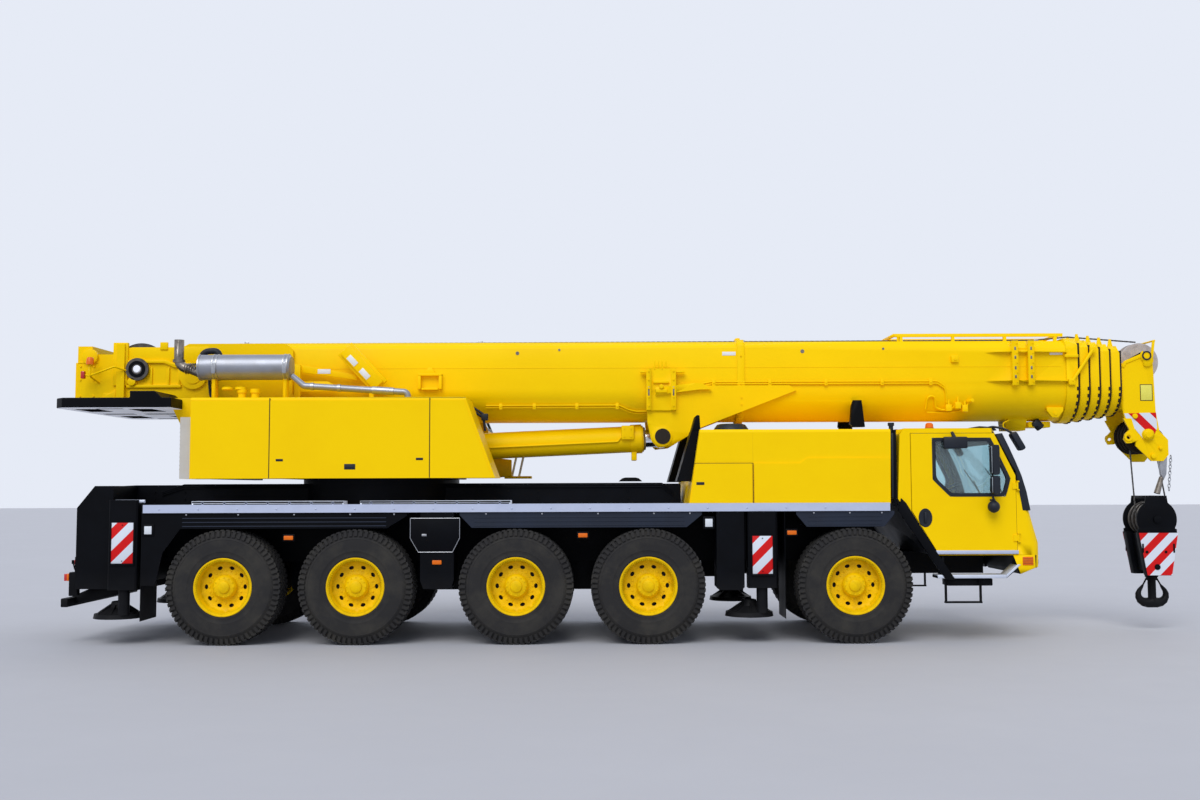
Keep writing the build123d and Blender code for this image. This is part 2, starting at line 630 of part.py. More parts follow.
def turntable():
    """Slewing platform, its two uprights for boom and luffing cylinder, and the tail frame."""
    with BuildPart() as table:
        post(SLEW_X, 0, RING_R, PLATFORM_LOW, PLATFORM_LOW + 50)
        block((-5655, -2300), (-UPRIGHT_Y - UPRIGHT_T, UPRIGHT_Y + UPRIGHT_T),
              (PLATFORM_LOW + 49, PLATFORM_TOP))
        post(SLEW_X, 0, RING_R - 230, PLATFORM_LOW - 1, PLATFORM_TOP + 1, mode=Mode.SUBTRACT)
        # cross members that carry the hood, the cab and the walkway
        for x in (-5400.0, -4450.0, -2400.0):
            block((x - 60, x + 60), (-1340, 1340), (PLATFORM_LOW + 20, PLATFORM_LOW + 74))
        for _, side in SIDES:
            slab(UPRIGHT_SIDE, *span(side, UPRIGHT_Y, UPRIGHT_Y + UPRIGHT_T))
            rod(*PIVOT, PIVOT_R + 70, *span(side, UPRIGHT_Y, UPRIGHT_Y + UPRIGHT_T + 35))
            rod(*PIVOT, PIVOT_R, *span(side, UPRIGHT_Y - 75, UPRIGHT_Y + UPRIGHT_T + 45))
            # clevis of the luffing cylinder
            foot_x, foot_z = LUFF_FOOT
            slab([(foot_x - 230, PLATFORM_TOP - 5), (foot_x - 130, foot_z + 90),
                  (foot_x, foot_z + 135), (foot_x + 130, foot_z + 90),
                  (foot_x + 230, PLATFORM_TOP - 5)], *span(side, 140, 185))
        rod(*LUFF_FOOT, LUFF_PIN_R, -190, 190)
        # tail: rear cross box, upper cross box and the posts beside the winch
        block((TAIL_REAR, TAIL_REAR + 320), (-UPRIGHT_Y - 10, UPRIGHT_Y + 10), (TAIL_LOW, 3632))
        block((TAIL_REAR + 39, TAIL_REAR + 230), (-UPRIGHT_Y - 44, UPRIGHT_Y + 44), (3630, 3849))
        for _, side in SIDES:
            block((-6800, -6695), span(side, UPRIGHT_Y + UPRIGHT_T - 2, UPRIGHT_Y + 110),
                  (TAIL_LOW, 3872))
            # winch bearings
            rod(*WINCH, 160, *span(side, UPRIGHT_Y, UPRIGHT_Y + UPRIGHT_T + 12))
            rod(*WINCH, 70 + RUN_FIT, *span(side, UPRIGHT_Y - 5, UPRIGHT_Y + 200),
                mode=Mode.SUBTRACT)
    return table.part


def winch_drum():
    """Grooved hoist drum between two flanges, on its shaft across the tail."""
    x, z = WINCH
    flange_y, flange_r, barrel_r = 400.0, 365.0, 250.0
    with BuildPart() as drum:
        rod(x, z, barrel_r, -flange_y, flange_y)
        for _, side in SIDES:
            rod(x, z, flange_r, *span(side, flange_y - 18, flange_y))
            rod(x, z, 70, *span(side, flange_y - 20, UPRIGHT_Y + UPRIGHT_T + 30))
            rod(x, z, 150, *span(side, UPRIGHT_Y + UPRIGHT_T + 22, UPRIGHT_Y + UPRIGHT_T + 62))
        # rope lying on the drum
        rod(x, z, barrel_r + 42, 30 - flange_y, flange_y - 30)
    return drum.part


def superstructure_hood():
    """Right-hand hood over the crane engine, with its seams, cooler and filler necks."""
    low, high = PLATFORM_LOW + 74 + RUN_FIT, 3095.0
    rear, front_high, front_low = -5530.0, -2072.0, -1690.0
    inner, outer, wall = -560.0, -1380.0, 30.0
    seam_rear, seam_front = -4531.0, -2514.0
    with BuildPart() as hood:
        slab([(rear, low), (rear, high), (front_high, high), (front_low, low)], outer, inner)
        fillet(hood.part.edges().filter_by(Axis.X).sort_by(Axis.Z)[-2:].sort_by(Axis.Y)[0], 40)
        slab([(rear + wall, low - 5), (rear + wall, high - wall),
              (front_high - wall, high - wall), (front_low - wall - 15, low - 5)],
             outer + wall, inner - wall, mode=Mode.SUBTRACT)
        # three doors stand proud of the shell, parted by narrow seams
        for door_rear, door_front, cut in ((rear + 8, seam_rear - 6, 0.0),
                                           (seam_rear + 6, seam_front - 6, 0.0),
                                           (seam_front + 6, front_high - 12, 360.0)):
            slab([(door_rear, low), (door_rear, high - 45), (door_front, high - 45),
                  (door_front + cut, low)], outer - 10, outer + 2)
        # cooler core and guard behind the hood
        block((-5687, rear + 2), (outer + 90, inner), (low, 2850))
        # filler necks on the roof
        for x in (-5000.0, -4830.0):
            post(x, -980, 48, high - 2, high + 110)
            post(x, -980, 62, high + 85, high + 135)
    return hood.part


def superstructure_engine():
    """Crane engine as one plain mass on the cross members, inside the hood."""
    base = PLATFORM_LOW + 74 + RUN_FIT
    with BuildPart() as engine:
        block((-5350, -4200), (-1250, -640), (base, 2950))
    return engine.part


def exhaust():
    """Silencer above the hood, its tail pipe and the long pipe that feeds it."""
    y, z, r = -950.0, 3515.0, 165.0
    rear, front = -5563.0, -4364.0
    with BuildPart() as silencer:
        bar_x(y, z, r, rear, front)
        chamfer(silencer.part.edges().filter_by(GeomType.CIRCLE), 30)
        bar_x(y, z, r + 6, rear + 190, rear + 215)
        bar_x(y, z, r + 6, front - 90, front - 65)
        with BuildLine() as tail:
            FilletPolyline((rear + 5, y, 3440), (-5835, y, 3440), (-5835, y, 3876), radius=130)
        with BuildSketch(Plane(origin=tail.line @ 0, z_dir=tail.line % 0)) as tail_bore:
            Circle(62)
        sweep(tail_bore.sketch, path=tail.line)
        with BuildLine() as feed:
            FilletPolyline((front - 5, y, 3400), (front + 160, y, 3270), (-2860, y, 3185),
                           (-2860, y, 3095 + RUN_FIT), radius=60)
        with BuildSketch(Plane(origin=feed.line @ 0, z_dir=feed.line % 0)) as feed_bore:
            Circle(42)
        sweep(feed_bore.sketch, path=feed.line)
        # saddles on the hood's roof
        for x in (rear + 202, front - 78):
            block((x - 25, x + 25), (y - 60, y + 60), (3095 + RUN_FIT, z - r + 20))
    return silencer.part


CRANE_CAB_SIDE = ((-3420.0, 2130.0), (-3420.0, 3560.0), (-2280.0, 3560.0), (-1950.0, 2750.0),
                  (-1950.0, 2500.0), (-2150.0, 2130.0))
CRANE_DOOR = ((-3300.0, 2190.0), (-3300.0, 3480.0), (-2500.0, 3480.0), (-2500.0, 2190.0))


def crane_cab():
    """Operator's cab on the left: hollow shell, seat, side doorway and big front window."""
    inner, outer, wall = 520.0, 1375.0, 40.0
    with BuildPart() as cab:
        slab(CRANE_CAB_SIDE, inner, outer)
        slab(inset(CRANE_CAB_SIDE, wall), inner + wall, outer - wall, mode=Mode.SUBTRACT)
        slab(inset(CRANE_DOOR, -6), outer - wall - 20, outer + 20, mode=Mode.SUBTRACT)
        # front and roof window, inner side window
        slab([(-2600, 3400), (-2600, 3700), (-2000, 3500), (-1800, 2800), (-2200, 2800)],
             inner + 90, outer - 90, mode=Mode.SUBTRACT)
        slab([(-3250, 2750), (-3250, 3420), (-2420, 3420), (-2180, 2750)],
             inner - 10, inner + wall + 10, mode=Mode.SUBTRACT)
        block((-3000, -2600), (750, 1150), (2165, 2600))
        slab([(-3090, 2560), (-2980, 2560), (-3060, 3180), (-3180, 3180)], 750, 1150)
        # foot that seats the cab on the platform's cross member
        block((-2460, -2340), (700, 1300), (PLATFORM_LOW + 74 + RUN_FIT, 2135))
        block((-3400, -3200), (700, 1300), (PLATFORM_LOW + 74 + RUN_FIT, 2135))
    return cab.part


def crane_cab_door():
    """Sliding door of the operator's cab, which runs back along the cab's outer side."""
    skin, thickness = 1375.0 + RUN_FIT, 36.0
    with BuildPart() as door:
        slab(inset(CRANE_DOOR, -16), skin, skin + thickness)
        slab(inset(CRANE_DOOR, 75), skin - 10, skin + thickness + 10, mode=Mode.SUBTRACT)
        block((-2600, -2560), (skin + thickness - 1, skin + thickness + 30), (2700, 2860))
    return door.part


def counterweight():
    """Ballast plate under the tail, hollowed below, with its two raised shoulders."""
    low, high, half = BALLAST_TOP - 129, BALLAST_TOP, 1350.0
    with BuildPart() as plate:
        block((TAIL_REAR + 93, PIVOT[0]), (-half, half), (low, high))
        chamfer(plate.part.edges().filter_by(Axis.Z).sort_by(Axis.X)[:2], 120)
        for _, side in SIDES:
            slab([(-6316, high - 2), (-6316, high + 84), (-6000, high + 84), (-5911, high),
                  (-5911, high - 2)],
                 *span(side, UPRIGHT_Y + 130, half))
        for x in (-7000.0, -6300.0):
            for y in (-760.0, 760.0):
                block((x - 160, x + 160), (y - 300, y + 300), (low - 1, low + 50),
                      mode=Mode.SUBTRACT)
    return plate.part


# ---------------------------------------------------------------- boom
def boom_half(section):
    """Half width of a boom section's tube: the base is 0, the innermost is SECTIONS."""
    return BOOM_HALF - SECTION_STEP * section


def boom_top(section):
    """Height of a boom section's flat top."""
    return BOOM_TOP - SECTION_STEP * section


def boom_sketch(x, section, grow=0.0):
    """Boom outline at one X: flat top, bevelled shoulders and a round lower half."""
    half, top, bevel = boom_half(section) + grow, boom_top(section) + grow, BOOM_BEVEL
    with BuildSketch(Plane.YZ.offset(x)) as outline:
        with BuildLine():
            Polyline((half, BOOM_ARC_Z), (half, top - bevel), (half - bevel, top),
                     (bevel - half, top), (-half, top - bevel), (-half, BOOM_ARC_Z))
            ThreePointArc((-half, BOOM_ARC_Z), (0, BOOM_ARC_Z - half), (half, BOOM_ARC_Z))
        make_face()
    return outline.sketch


def collar_x(section):
    """Rear face of a section's collar."""
    return BOOM_FRONT if section == 0 else BOOM_FRONT + 195.0 + (section - 1) * COLLAR_PITCH


def add_collar(section, length):
    """Stiffening collar at a section's mouth, with slide pads for the next section."""
    x = collar_x(section)
    extrude(boom_sketch(x, section, COLLAR_WALL), amount=length)
    extrude(boom_sketch(x - 1, section + 1, 7.0), amount=length + 2, mode=Mode.SUBTRACT)
    top, half = boom_top(section + 1), boom_half(section + 1)
    for side in (-1, 1):
        block((x + 10, x + length - 10), span(side, 90, 210), (top + RUN_FIT, top + 9))
        block((x + 10, x + length - 10), span(side, half + RUN_FIT, half + 9),
              (BOOM_ARC_Z + 20, BOOM_ARC_Z + 140))


def boom_base():
    """Boom foot section: tube, first collar, cylinder bracket, top gallery and fittings."""
    foot_solid = -5480.0
    rail_low = BOOM_TOP + 60
    with BuildPart() as base:
        extrude(boom_sketch(PIVOT[0] - FOOT_R - 10, 0), amount=BOOM_FRONT - PIVOT[0] + FOOT_R + 11)
        # the foot is round about its pin, so that it turns clear of winch and ballast plate
        with BuildSketch(Plane.XZ.offset(-500)) as foot:
            with Locations(PIVOT):
                Circle(FOOT_R)
            with BuildLine():
                Polyline((-5730, BOOM_TOP - 120), (-5300, BOOM_TOP), (BOOM_FRONT + 9, BOOM_TOP),
                         (BOOM_FRONT + 9, 2780), (foot_solid, 2780), (-5770, 3120),
                         close=True)
            make_face()
        extrude(foot.sketch, amount=1000, mode=Mode.INTERSECT)
        extrude(boom_sketch(foot_solid, 0, -BOOM_WALL), amount=BOOM_FRONT + 2 - foot_solid,
                mode=Mode.SUBTRACT)
        add_collar(0, 190.0)
        for _, side in SIDES:
            rod(*PIVOT, PIVOT_R + RUN_FIT, *span(side, BOOM_HALF - 70, BOOM_HALF + 10),
                mode=Mode.SUBTRACT)
        # band round the tube
        extrude(boom_sketch(BAND_X, 0, BAND_T), amount=BAND_W)
        extrude(boom_sketch(BAND_X - 1, 0, -1), amount=BAND_W + 2, mode=Mode.SUBTRACT)
        block((BAND_X + 30, BAND_X + 66), (-60, 60), (BOOM_TOP + 20, BOOM_TOP + 75))
        # two upright channels between long level ribs, for the folded jib's front rest
        for x in (5132.0, 5345.0):
            block((x, x + 82), span(-1, BOOM_HALF - 1, BOOM_HALF + 80),
                  (BOOM_ARC_Z + 30, BOOM_TOP - 15))
        for z in (BOOM_ARC_Z + 88, BOOM_TOP - 163):
            with BuildSketch(Plane.XY.offset(z - 8)) as rib:
                with BuildLine():
                    Polyline((4790, -BOOM_HALF + 1), (5000, -BOOM_HALF - 60),
                             (BOOM_FRONT, -BOOM_HALF - 60), (BOOM_FRONT, -BOOM_HALF + 1),
                             close=True)
                make_face()
            extrude(rib.sketch, amount=16)
        # gallery for the hoist rope on the top, near the mouth
        for side in (-1, 1):
            block((3595, 5882), span(side, 290, 320), (rail_low, rail_low + 44))
            for x in (3700.0, 4400.0, 5100.0, 5780.0):
                block((x - 20, x + 20), span(side, 285, 325), (BOOM_TOP - 1, rail_low + 2))
        for x in (3595, 5837):
            block((x, x + 45), (-320, 320), (rail_low + 15, rail_low + 44))
        # lifting lug and the guide block below the tube
        slab([(5125, 2880), (5140, 2700), (5400, 2700), (5430, 2880)], -150, 150)
        for _, side in SIDES:
            # guide beside the boom that drops onto the carrier's travel rest
            slab([(2966, 2780), (3000, 3097), (3120, 3097), (3160, 2740), (3000, 2737)],
                 *span(side, BOOM_HALF - 70, BOOM_HALF + 36))
        extrude(boom_sketch(foot_solid, 0, -BOOM_WALL), amount=BOOM_FRONT - 5 - foot_solid,
                mode=Mode.SUBTRACT)
    return base.part


def luffing_bracket():
    """Plates beside the boom that carry the luffing cylinder's rod eye, with their long gussets."""
    eye_x, eye_z = LUFF_EYE
    joint_x, top_z = 860.0, BOOM_ARC_Z + 40
    with BuildPart() as bracket:
        for _, side in SIDES:
            across = span(side, BOOM_HALF + RUN_FIT, BOOM_HALF + BRACKET_T)
            slab([(eye_x - 150, eye_z - 60), (eye_x - 60, eye_z - 150), (eye_x + 120, eye_z - 130),
                  (820, 2640), (joint_x, 2690), (joint_x, top_z), (250, top_z),
                  (eye_x - 200, eye_z + 180)], *across)
            slab([(joint_x + RUN_FIT, 2694), (2252, 3232), (2160, top_z),
                  (joint_x + RUN_FIT, top_z)], *across)
            rod(eye_x, eye_z, 130, *span(side, BOOM_HALF - 30, BOOM_HALF + 60))
            rod(eye_x, eye_z, LUFF_PIN_R, *span(side, EYE_HALF + 6, BOOM_HALF + 70))
        # the band round the boom lies in a recess of the gussets
        extrude(boom_sketch(BAND_X - RUN_FIT, 0, BAND_T + RUN_FIT), amount=BAND_W + 2 * RUN_FIT,
                mode=Mode.SUBTRACT)
        # holder for the folded jib on the right: a doubler plate, two channels and an arm
        face = BOOM_HALF + BRACKET_T - 1
        block((247, 640), span(-1, face, face + 24), (BOOM_ARC_Z - 300, BOOM_ARC_Z + 270))
        for x in (247.0, 576.0):
            block((x, x + 64), span(-1, face, BOOM_HALF + 120),
                  (BOOM_ARC_Z - 290, BOOM_ARC_Z + 260))
        slab([(370, BOOM_ARC_Z - 90), (370, BOOM_ARC_Z + 10), (900, BOOM_ARC_Z + 68),
              (985, BOOM_ARC_Z + 68), (1113, BOOM_ARC_Z - 15), (940, BOOM_ARC_Z - 20)],
             *span(-1, face + 20, BOOM_HALF + 110))
    return bracket.part


def boom_section(number):
    """One telescopic section: a tube with a collar; the innermost carries the boom head."""
    rear = SECTION_REAR + 60.0 * (number - 1)
    last = number == SECTIONS
    front = HEAD_X if last else collar_x(number) + 1
    with BuildPart() as tube:
        extrude(boom_sketch(rear, number), amount=front - rear)
        extrude(boom_sketch(rear - 1, number, -SECTION_WALL),
                amount=front - rear + (2 if not last else -25), mode=Mode.SUBTRACT)
        if last:
            for _, side in SIDES:
                slab(HEAD_SIDE, *span(side, HEAD_PLATE_Y, HEAD_PLATE_Y + HEAD_PLATE_T))
                rod(*TOP_SHEAVE, SHEAVE_PIN_R + 35, *span(side, HEAD_PLATE_Y, HEAD_PLATE_Y + 60))
                rod(*LOW_SHEAVE, SHEAVE_PIN_R + 40, *span(side, HEAD_PLATE_Y, HEAD_PLATE_Y + 75))
            block((HEAD_X - 2, HEAD_X + 32), (-HEAD_PLATE_Y - 1, HEAD_PLATE_Y + 1), (2970, 3600))
            block((6690, 7100), (-HEAD_PLATE_Y - 1, HEAD_PLATE_Y + 1), (2985, 3020))
            rod(*TOP_SHEAVE, SHEAVE_PIN_R, -HEAD_PLATE_Y - 70, HEAD_PLATE_Y + 70)
            rod(*LOW_SHEAVE, SHEAVE_PIN_R, -HEAD_PLATE_Y - 90, HEAD_PLATE_Y + 90)
            # jib anchor lug behind the lower sheaves
            for _, side in SIDES:
                slab([(6650, 2850), (6640, 2700), (6570, 2640), (6545, 2570), (6590, 2515),
                      (6660, 2520), (6740, 2560), (6760, 2850)],
                     *span(side, HEAD_PLATE_Y + 2, HEAD_PLATE_Y + HEAD_PLATE_T + 6))
                rod(6600, 2580, JIB_PIN_R, *span(side, HEAD_PLATE_Y - 5, HEAD_PLATE_Y + 60),
                    mode=Mode.SUBTRACT)
        else:
            add_collar(number, COLLAR_L)
            x = collar_x(number)
            top = boom_top(number) + COLLAR_WALL
            for side in (-1, 1):
                # rope guide horns on the collar
                slab([(x + 30, top - 2), (x + 50, top + 105), (x + 75, top + 105),
                      (x + 100, top - 2)], *span(side, 150, 175))
    return tube.part


def top_sheaves():
    """Two rope sheaves at the top of the boom head, free on one pin."""
    with BuildPart() as sheaves:
        for y in (-70.0, 70.0):
            rope_sheave(*TOP_SHEAVE, TOP_SHEAVE_R, y)
        rod(*TOP_SHEAVE, SHEAVE_PIN_R + 22, -70, 70)
        rod(*TOP_SHEAVE, SHEAVE_PIN_R + RUN_FIT, -200, 200, mode=Mode.SUBTRACT)
    return sheaves.part


def rope_sheave(x, z, radius, y, mode=Mode.ADD):
    """One grooved sheave with its axis across the crane."""
    half, groove = SHEAVE_T / 2, SHEAVE_GROOVE
    with BuildSketch(Plane(origin=(x, y, z), x_dir=(0, 0, 1), z_dir=(-1, 0, 0))) as section:
        with BuildLine():
            Polyline((0, half - 8), (radius - 55, half - 8), (radius - 40, half),
                     (radius, half), (radius - groove, 6), (radius - groove, -6),
                     (radius, -half), (radius - 40, -half), (radius - 55, 8 - half),
                     (0, 8 - half), close=True)
        make_face()
    revolve(section.sketch, axis=Axis((x, y, z), (0, 1, 0)), mode=mode)


def lower_sheaves():
    """Four sheaves at the foot of the boom head, from which the hook block hangs."""
    with BuildPart() as sheaves:
        for y in SHEAVE_Y:
            rope_sheave(*LOW_SHEAVE, LOW_SHEAVE_R, y)
        rod(*LOW_SHEAVE, SHEAVE_PIN_R + 24, SHEAVE_Y[0], SHEAVE_Y[-1])
        rod(*LOW_SHEAVE, SHEAVE_PIN_R + RUN_FIT, -200, 200, mode=Mode.SUBTRACT)
    return sheaves.part


def hoist_ropes():
    """Falls of the hoist rope between the head's lower sheaves and the hook block."""
    x, z = LOW_SHEAVE
    with BuildPart() as falls:
        for y in SHEAVE_Y:
            for turn in (-1, 1):
                post(x + turn * (LOW_SHEAVE_R - SHEAVE_GROOVE + ROPE_R + 0.3), y, ROPE_R,
                     BLOCK_SHEAVE_Z, z)
    return falls.part


def hook_block():
    """Cheek plates, sheaves, lower crosshead and striped weight plates of the hook block."""
    x = LOW_SHEAVE[0]
    cheek = ((x - 175, BLOCK_TOP), (x + 175, BLOCK_TOP), (x + 262, 1600), (x + 270, 1330),
             (x + 165, BLOCK_LOW), (x - 165, BLOCK_LOW), (x - 270, 1330), (x - 262, 1600))
    plate_y = SHEAVE_Y[-1] + 45
    with BuildPart() as body:
        for _, side in SIDES:
            slab(cheek, *span(side, plate_y, plate_y + 28))
            # weight plates on the lower half
            slab([(x - 268, 1318), (x + 268, 1318), (x + 168, BLOCK_LOW + 4),
                  (x - 168, BLOCK_LOW + 4)], *span(side, plate_y + 27, BLOCK_HALF))
            rod(x, BLOCK_SHEAVE_Z, 75, *span(side, plate_y + 20, plate_y + 60))
        for y in SHEAVE_Y:
            rope_sheave(x, BLOCK_SHEAVE_Z, BLOCK_SHEAVE_R, y)
        rod(x, BLOCK_SHEAVE_Z, SHEAVE_PIN_R, -plate_y - 10, plate_y + 10)
        block((x - 110, x + 110), (-plate_y - 1, plate_y + 1), (HOOK_SEAT_Z, 1060))
        block((x - 150, x + 150), (-plate_y - 1, plate_y + 1), (1130, 1240))
        post(x, 0, HOOK_SHANK_R + RUN_FIT, HOOK_SEAT_Z - 5, 1080, mode=Mode.SUBTRACT)
    return body.part


def hook():
    """Ramshorn hook: a shank with a nut above its bearing and two upswept horns."""
    x, low, horn_r = LOW_SHEAVE[0], 298.0, 38.0
    with BuildPart() as horn:
        post(x, 0, HOOK_SHANK_R, low + 60, 1060 + 45)
        post(x, 0, 82, 1060 + RUN_FIT, 1060 + 55)
        post(x, 0, 62, 610, BLOCK_LOW - 20)
        with Locations((x, 0, low + 62)):
            Sphere(62)
        for side in (-1, 1):
            with BuildLine() as path:
                ThreePointArc((x, 0, low + 62), (x + side * 185, 0, low + 130),
                              (x + side * 150, 0, low + 290))
            with BuildSketch(Plane(origin=path.line @ 0, z_dir=path.line % 0)) as bore:
                Circle(horn_r)
            sweep(bore.sketch, path=path.line)
    return horn.part


def luff_axis(distance):
    """Point on the luffing cylinder's axis at a distance from its foot pin."""
    (x0, z0), (x1, z1) = LUFF_FOOT, LUFF_EYE
    length = math.hypot(x1 - x0, z1 - z0)
    return Vector(x0 + (x1 - x0) * distance / length, 0, z0 + (z1 - z0) * distance / length)


def luff_bar(radius, start, end, mode=Mode.ADD):
    """Round bar along the luffing cylinder's axis between two distances from the foot pin."""
    along = luff_axis(1) - luff_axis(0)
    with BuildSketch(Plane(origin=luff_axis(start), z_dir=along)) as section:
        Circle(radius)
    extrude(section.sketch, amount=end - start, mode=mode)


LUFF_LENGTH = math.hypot(LUFF_EYE[0] - LUFF_FOOT[0], LUFF_EYE[1] - LUFF_FOOT[1])
GLAND = LUFF_LENGTH - GLAND_BACK
PISTON = (470.0, 640.0)


def luff_barrel():
    """Barrel of the luffing cylinder with its foot eye, bore and gland."""
    with BuildPart() as barrel:
        luff_bar(120, 60, 345)
        luff_bar(BARREL_R, 340, GLAND)
        luff_bar(BARREL_R + 18, GLAND - 170, GLAND - 20)
        rod(*LUFF_FOOT, 165, -EYE_HALF, EYE_HALF)
        luff_bar(BARREL_BORE, 420, GLAND - 150, mode=Mode.SUBTRACT)
        luff_bar(ROD_R + RUN_FIT, GLAND - 160, GLAND + 5, mode=Mode.SUBTRACT)
        rod(*LUFF_FOOT, LUFF_PIN_R + RUN_FIT, -400, 400, mode=Mode.SUBTRACT)
    return barrel.part


def luff_rod():
    """Piston rod of the luffing cylinder with its eye below the boom."""
    with BuildPart() as piston:
        luff_bar(BARREL_BORE - RUN_FIT, *PISTON)
        luff_bar(ROD_R, PISTON[1] - 1, LUFF_LENGTH - 60)
        rod(*LUFF_EYE, 138, -EYE_HALF, EYE_HALF)
        rod(*LUFF_EYE, LUFF_PIN_R + RUN_FIT, -EYE_HALF - 5, EYE_HALF + 5, mode=Mode.SUBTRACT)
    return piston.part


# ---------------------------------------------------------------- write every piece
for axle_number, position in enumerate(AXLE_X, start=1):
    for side_name, side_sign in SIDES:
        save(f"wheel_{axle_number}_{side_name}", wheel(position, side_sign))
        save(f"knuckle_{axle_number}_{side_name}", knuckle(position, side_sign))

for end_name, position in zip(("front", "rear"), JACK_X):
    for side_name, side_sign in SIDES:
        save(f"outrigger_{end_name}_{side_name}", outrigger(position, side_sign))

for side_name, side_sign in SIDES:
    save(f"cab_door_{side_name}", cab_door(side_sign))

for section_number in range(1, SECTIONS + 1):
    save(f"boom_section_{section_number}", boom_section(section_number))

for maker in (axle_beams, suspension, chassis_frame, carrier_deck, mudguards, carrier_hood,
              intake_cap, cooler_outlets,
              carrier_engine, driver_cab, cab_interior, front_bumper, turntable, winch_drum,
              superstructure_hood, superstructure_engine, exhaust, crane_cab, crane_cab_door,
              counterweight, boom_base, luffing_bracket, top_sheaves, lower_sheaves, hoist_ropes,
              hook_block, hook, luff_barrel, luff_rod):
    save(maker.__name__, maker())
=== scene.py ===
"""Finishes and fine pieces of a five-axle mobile crane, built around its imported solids.

Lengths are in metres in the part's own frame: +X forward, +Y to the left, +Z up from the
ground. Places come from the solids' boxes and from sizes named in the classes below.
"""

import json
import logging
import math
from collections.abc import Callable, Iterable, Sequence
from dataclasses import dataclass
from enum import Enum
from itertools import product

import bmesh
import bpy
from bmesh.types import BMEdge, BMVert
from mathutils import Matrix, Vector

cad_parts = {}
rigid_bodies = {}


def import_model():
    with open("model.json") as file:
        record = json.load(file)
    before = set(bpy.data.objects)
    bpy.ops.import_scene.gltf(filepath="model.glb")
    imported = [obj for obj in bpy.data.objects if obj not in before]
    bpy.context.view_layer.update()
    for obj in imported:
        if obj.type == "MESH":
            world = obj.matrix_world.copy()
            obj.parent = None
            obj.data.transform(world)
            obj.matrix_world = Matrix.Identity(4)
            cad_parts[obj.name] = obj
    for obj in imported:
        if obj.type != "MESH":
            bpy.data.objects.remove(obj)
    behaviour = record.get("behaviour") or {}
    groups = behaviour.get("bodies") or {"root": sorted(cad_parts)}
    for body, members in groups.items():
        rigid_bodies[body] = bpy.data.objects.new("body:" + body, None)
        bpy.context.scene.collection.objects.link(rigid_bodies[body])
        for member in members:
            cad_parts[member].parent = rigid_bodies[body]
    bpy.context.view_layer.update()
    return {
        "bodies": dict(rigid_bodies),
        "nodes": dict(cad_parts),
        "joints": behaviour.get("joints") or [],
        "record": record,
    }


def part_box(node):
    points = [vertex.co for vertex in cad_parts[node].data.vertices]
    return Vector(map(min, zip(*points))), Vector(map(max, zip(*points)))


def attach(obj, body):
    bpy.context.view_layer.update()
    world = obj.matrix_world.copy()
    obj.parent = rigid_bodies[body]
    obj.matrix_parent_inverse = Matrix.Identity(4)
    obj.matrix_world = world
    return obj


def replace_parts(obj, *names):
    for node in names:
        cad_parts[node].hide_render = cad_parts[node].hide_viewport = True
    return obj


LOG = logging.getLogger("crane")
Point = Sequence[float]
PROUD = 0.001            # how far a tread block's crown stays inside the tyre's own size
ROPE_R = 0.011           # radius of the hoist rope
MERGE = 1e-5             # corners nearer to each other than this become one
FIRST, SECOND, BLENDED = 6, 7, 2     # colour sockets of a mix node: both inputs, its output


class Side(Enum):
    """The crane's right side faces the camera; left is the side with the operator's cab."""

    RIGHT = -1
    LEFT = 1

    @property
    def label(self) -> str:
        """Name of the side, as the solids use it."""
        return self.name.lower()


class Axis(Enum):
    """Directions of the part's frame."""

    X = (1.0, 0.0, 0.0)
    Y = (0.0, 1.0, 0.0)
    Z = (0.0, 0.0, 1.0)

    @property
    def vector(self) -> Vector:
        """The direction as a vector."""
        return Vector(self.value)


# ------------------------------------------------------------------------- finishes
def linear(code: str) -> tuple[float, float, float, float]:
    """Turn an sRGB hex value into Blender's linear colour.

    Args:
        code: colour such as "#f5c400".

    Returns:
        Red, green, blue and an alpha of 1.
    """
    shares = [int(code[i:i + 2], 16) / 255 for i in (1, 3, 5)]
    bent = [c / 12.92 if c <= 0.04045 else ((c + 0.055) / 1.055) ** 2.4 for c in shares]
    return (*bent, 1.0)


def add_node(tree: bpy.types.NodeTree, kind: str, settings: dict | None = None,
             links: dict | None = None) -> bpy.types.Node:
    """Add one shader node with its settings and links.

    Args:
        tree: node tree that takes the node.
        kind: node type, such as "ShaderNodeBump".
        settings: properties by name, or unlinked inputs by name or number.
        links: inputs by name or number, each with the output that feeds it.

    Returns:
        The new node.
    """
    made = tree.nodes.new(kind)
    for key, value in (settings or {}).items():
        if isinstance(key, str) and hasattr(made, key):
            setattr(made, key, value)
        else:
            made.inputs[key].default_value = value
    for key, socket in (links or {}).items():
        tree.links.new(socket, made.inputs[key])
    return made


def noise(tree: bpy.types.NodeTree, place: bpy.types.NodeSocket,
          **settings: float) -> bpy.types.NodeSocket:
    """Add a noise texture with its settings at a place, and return its strength."""
    return add_node(tree, "ShaderNodeTexNoise", settings, {"Vector": place}).outputs["Fac"]


def blend(tree: bpy.types.NodeTree, share: bpy.types.NodeSocket, settings: dict,
          links: dict | None = None) -> bpy.types.NodeSocket:
    """Mix two colours, given as settings or links, by a share of the second."""
    made = add_node(tree, "ShaderNodeMix", {"data_type": "RGBA", **settings},
                    {0: share, **(links or {})})
    return made.outputs[BLENDED]


def in_scene(name: str, data: bpy.types.ID) -> bpy.types.Object:
    """Make an object of a mesh, lamp or camera and put it in the scene."""
    made = bpy.data.objects.new(name, data)
    bpy.context.scene.collection.objects.link(made)
    return made


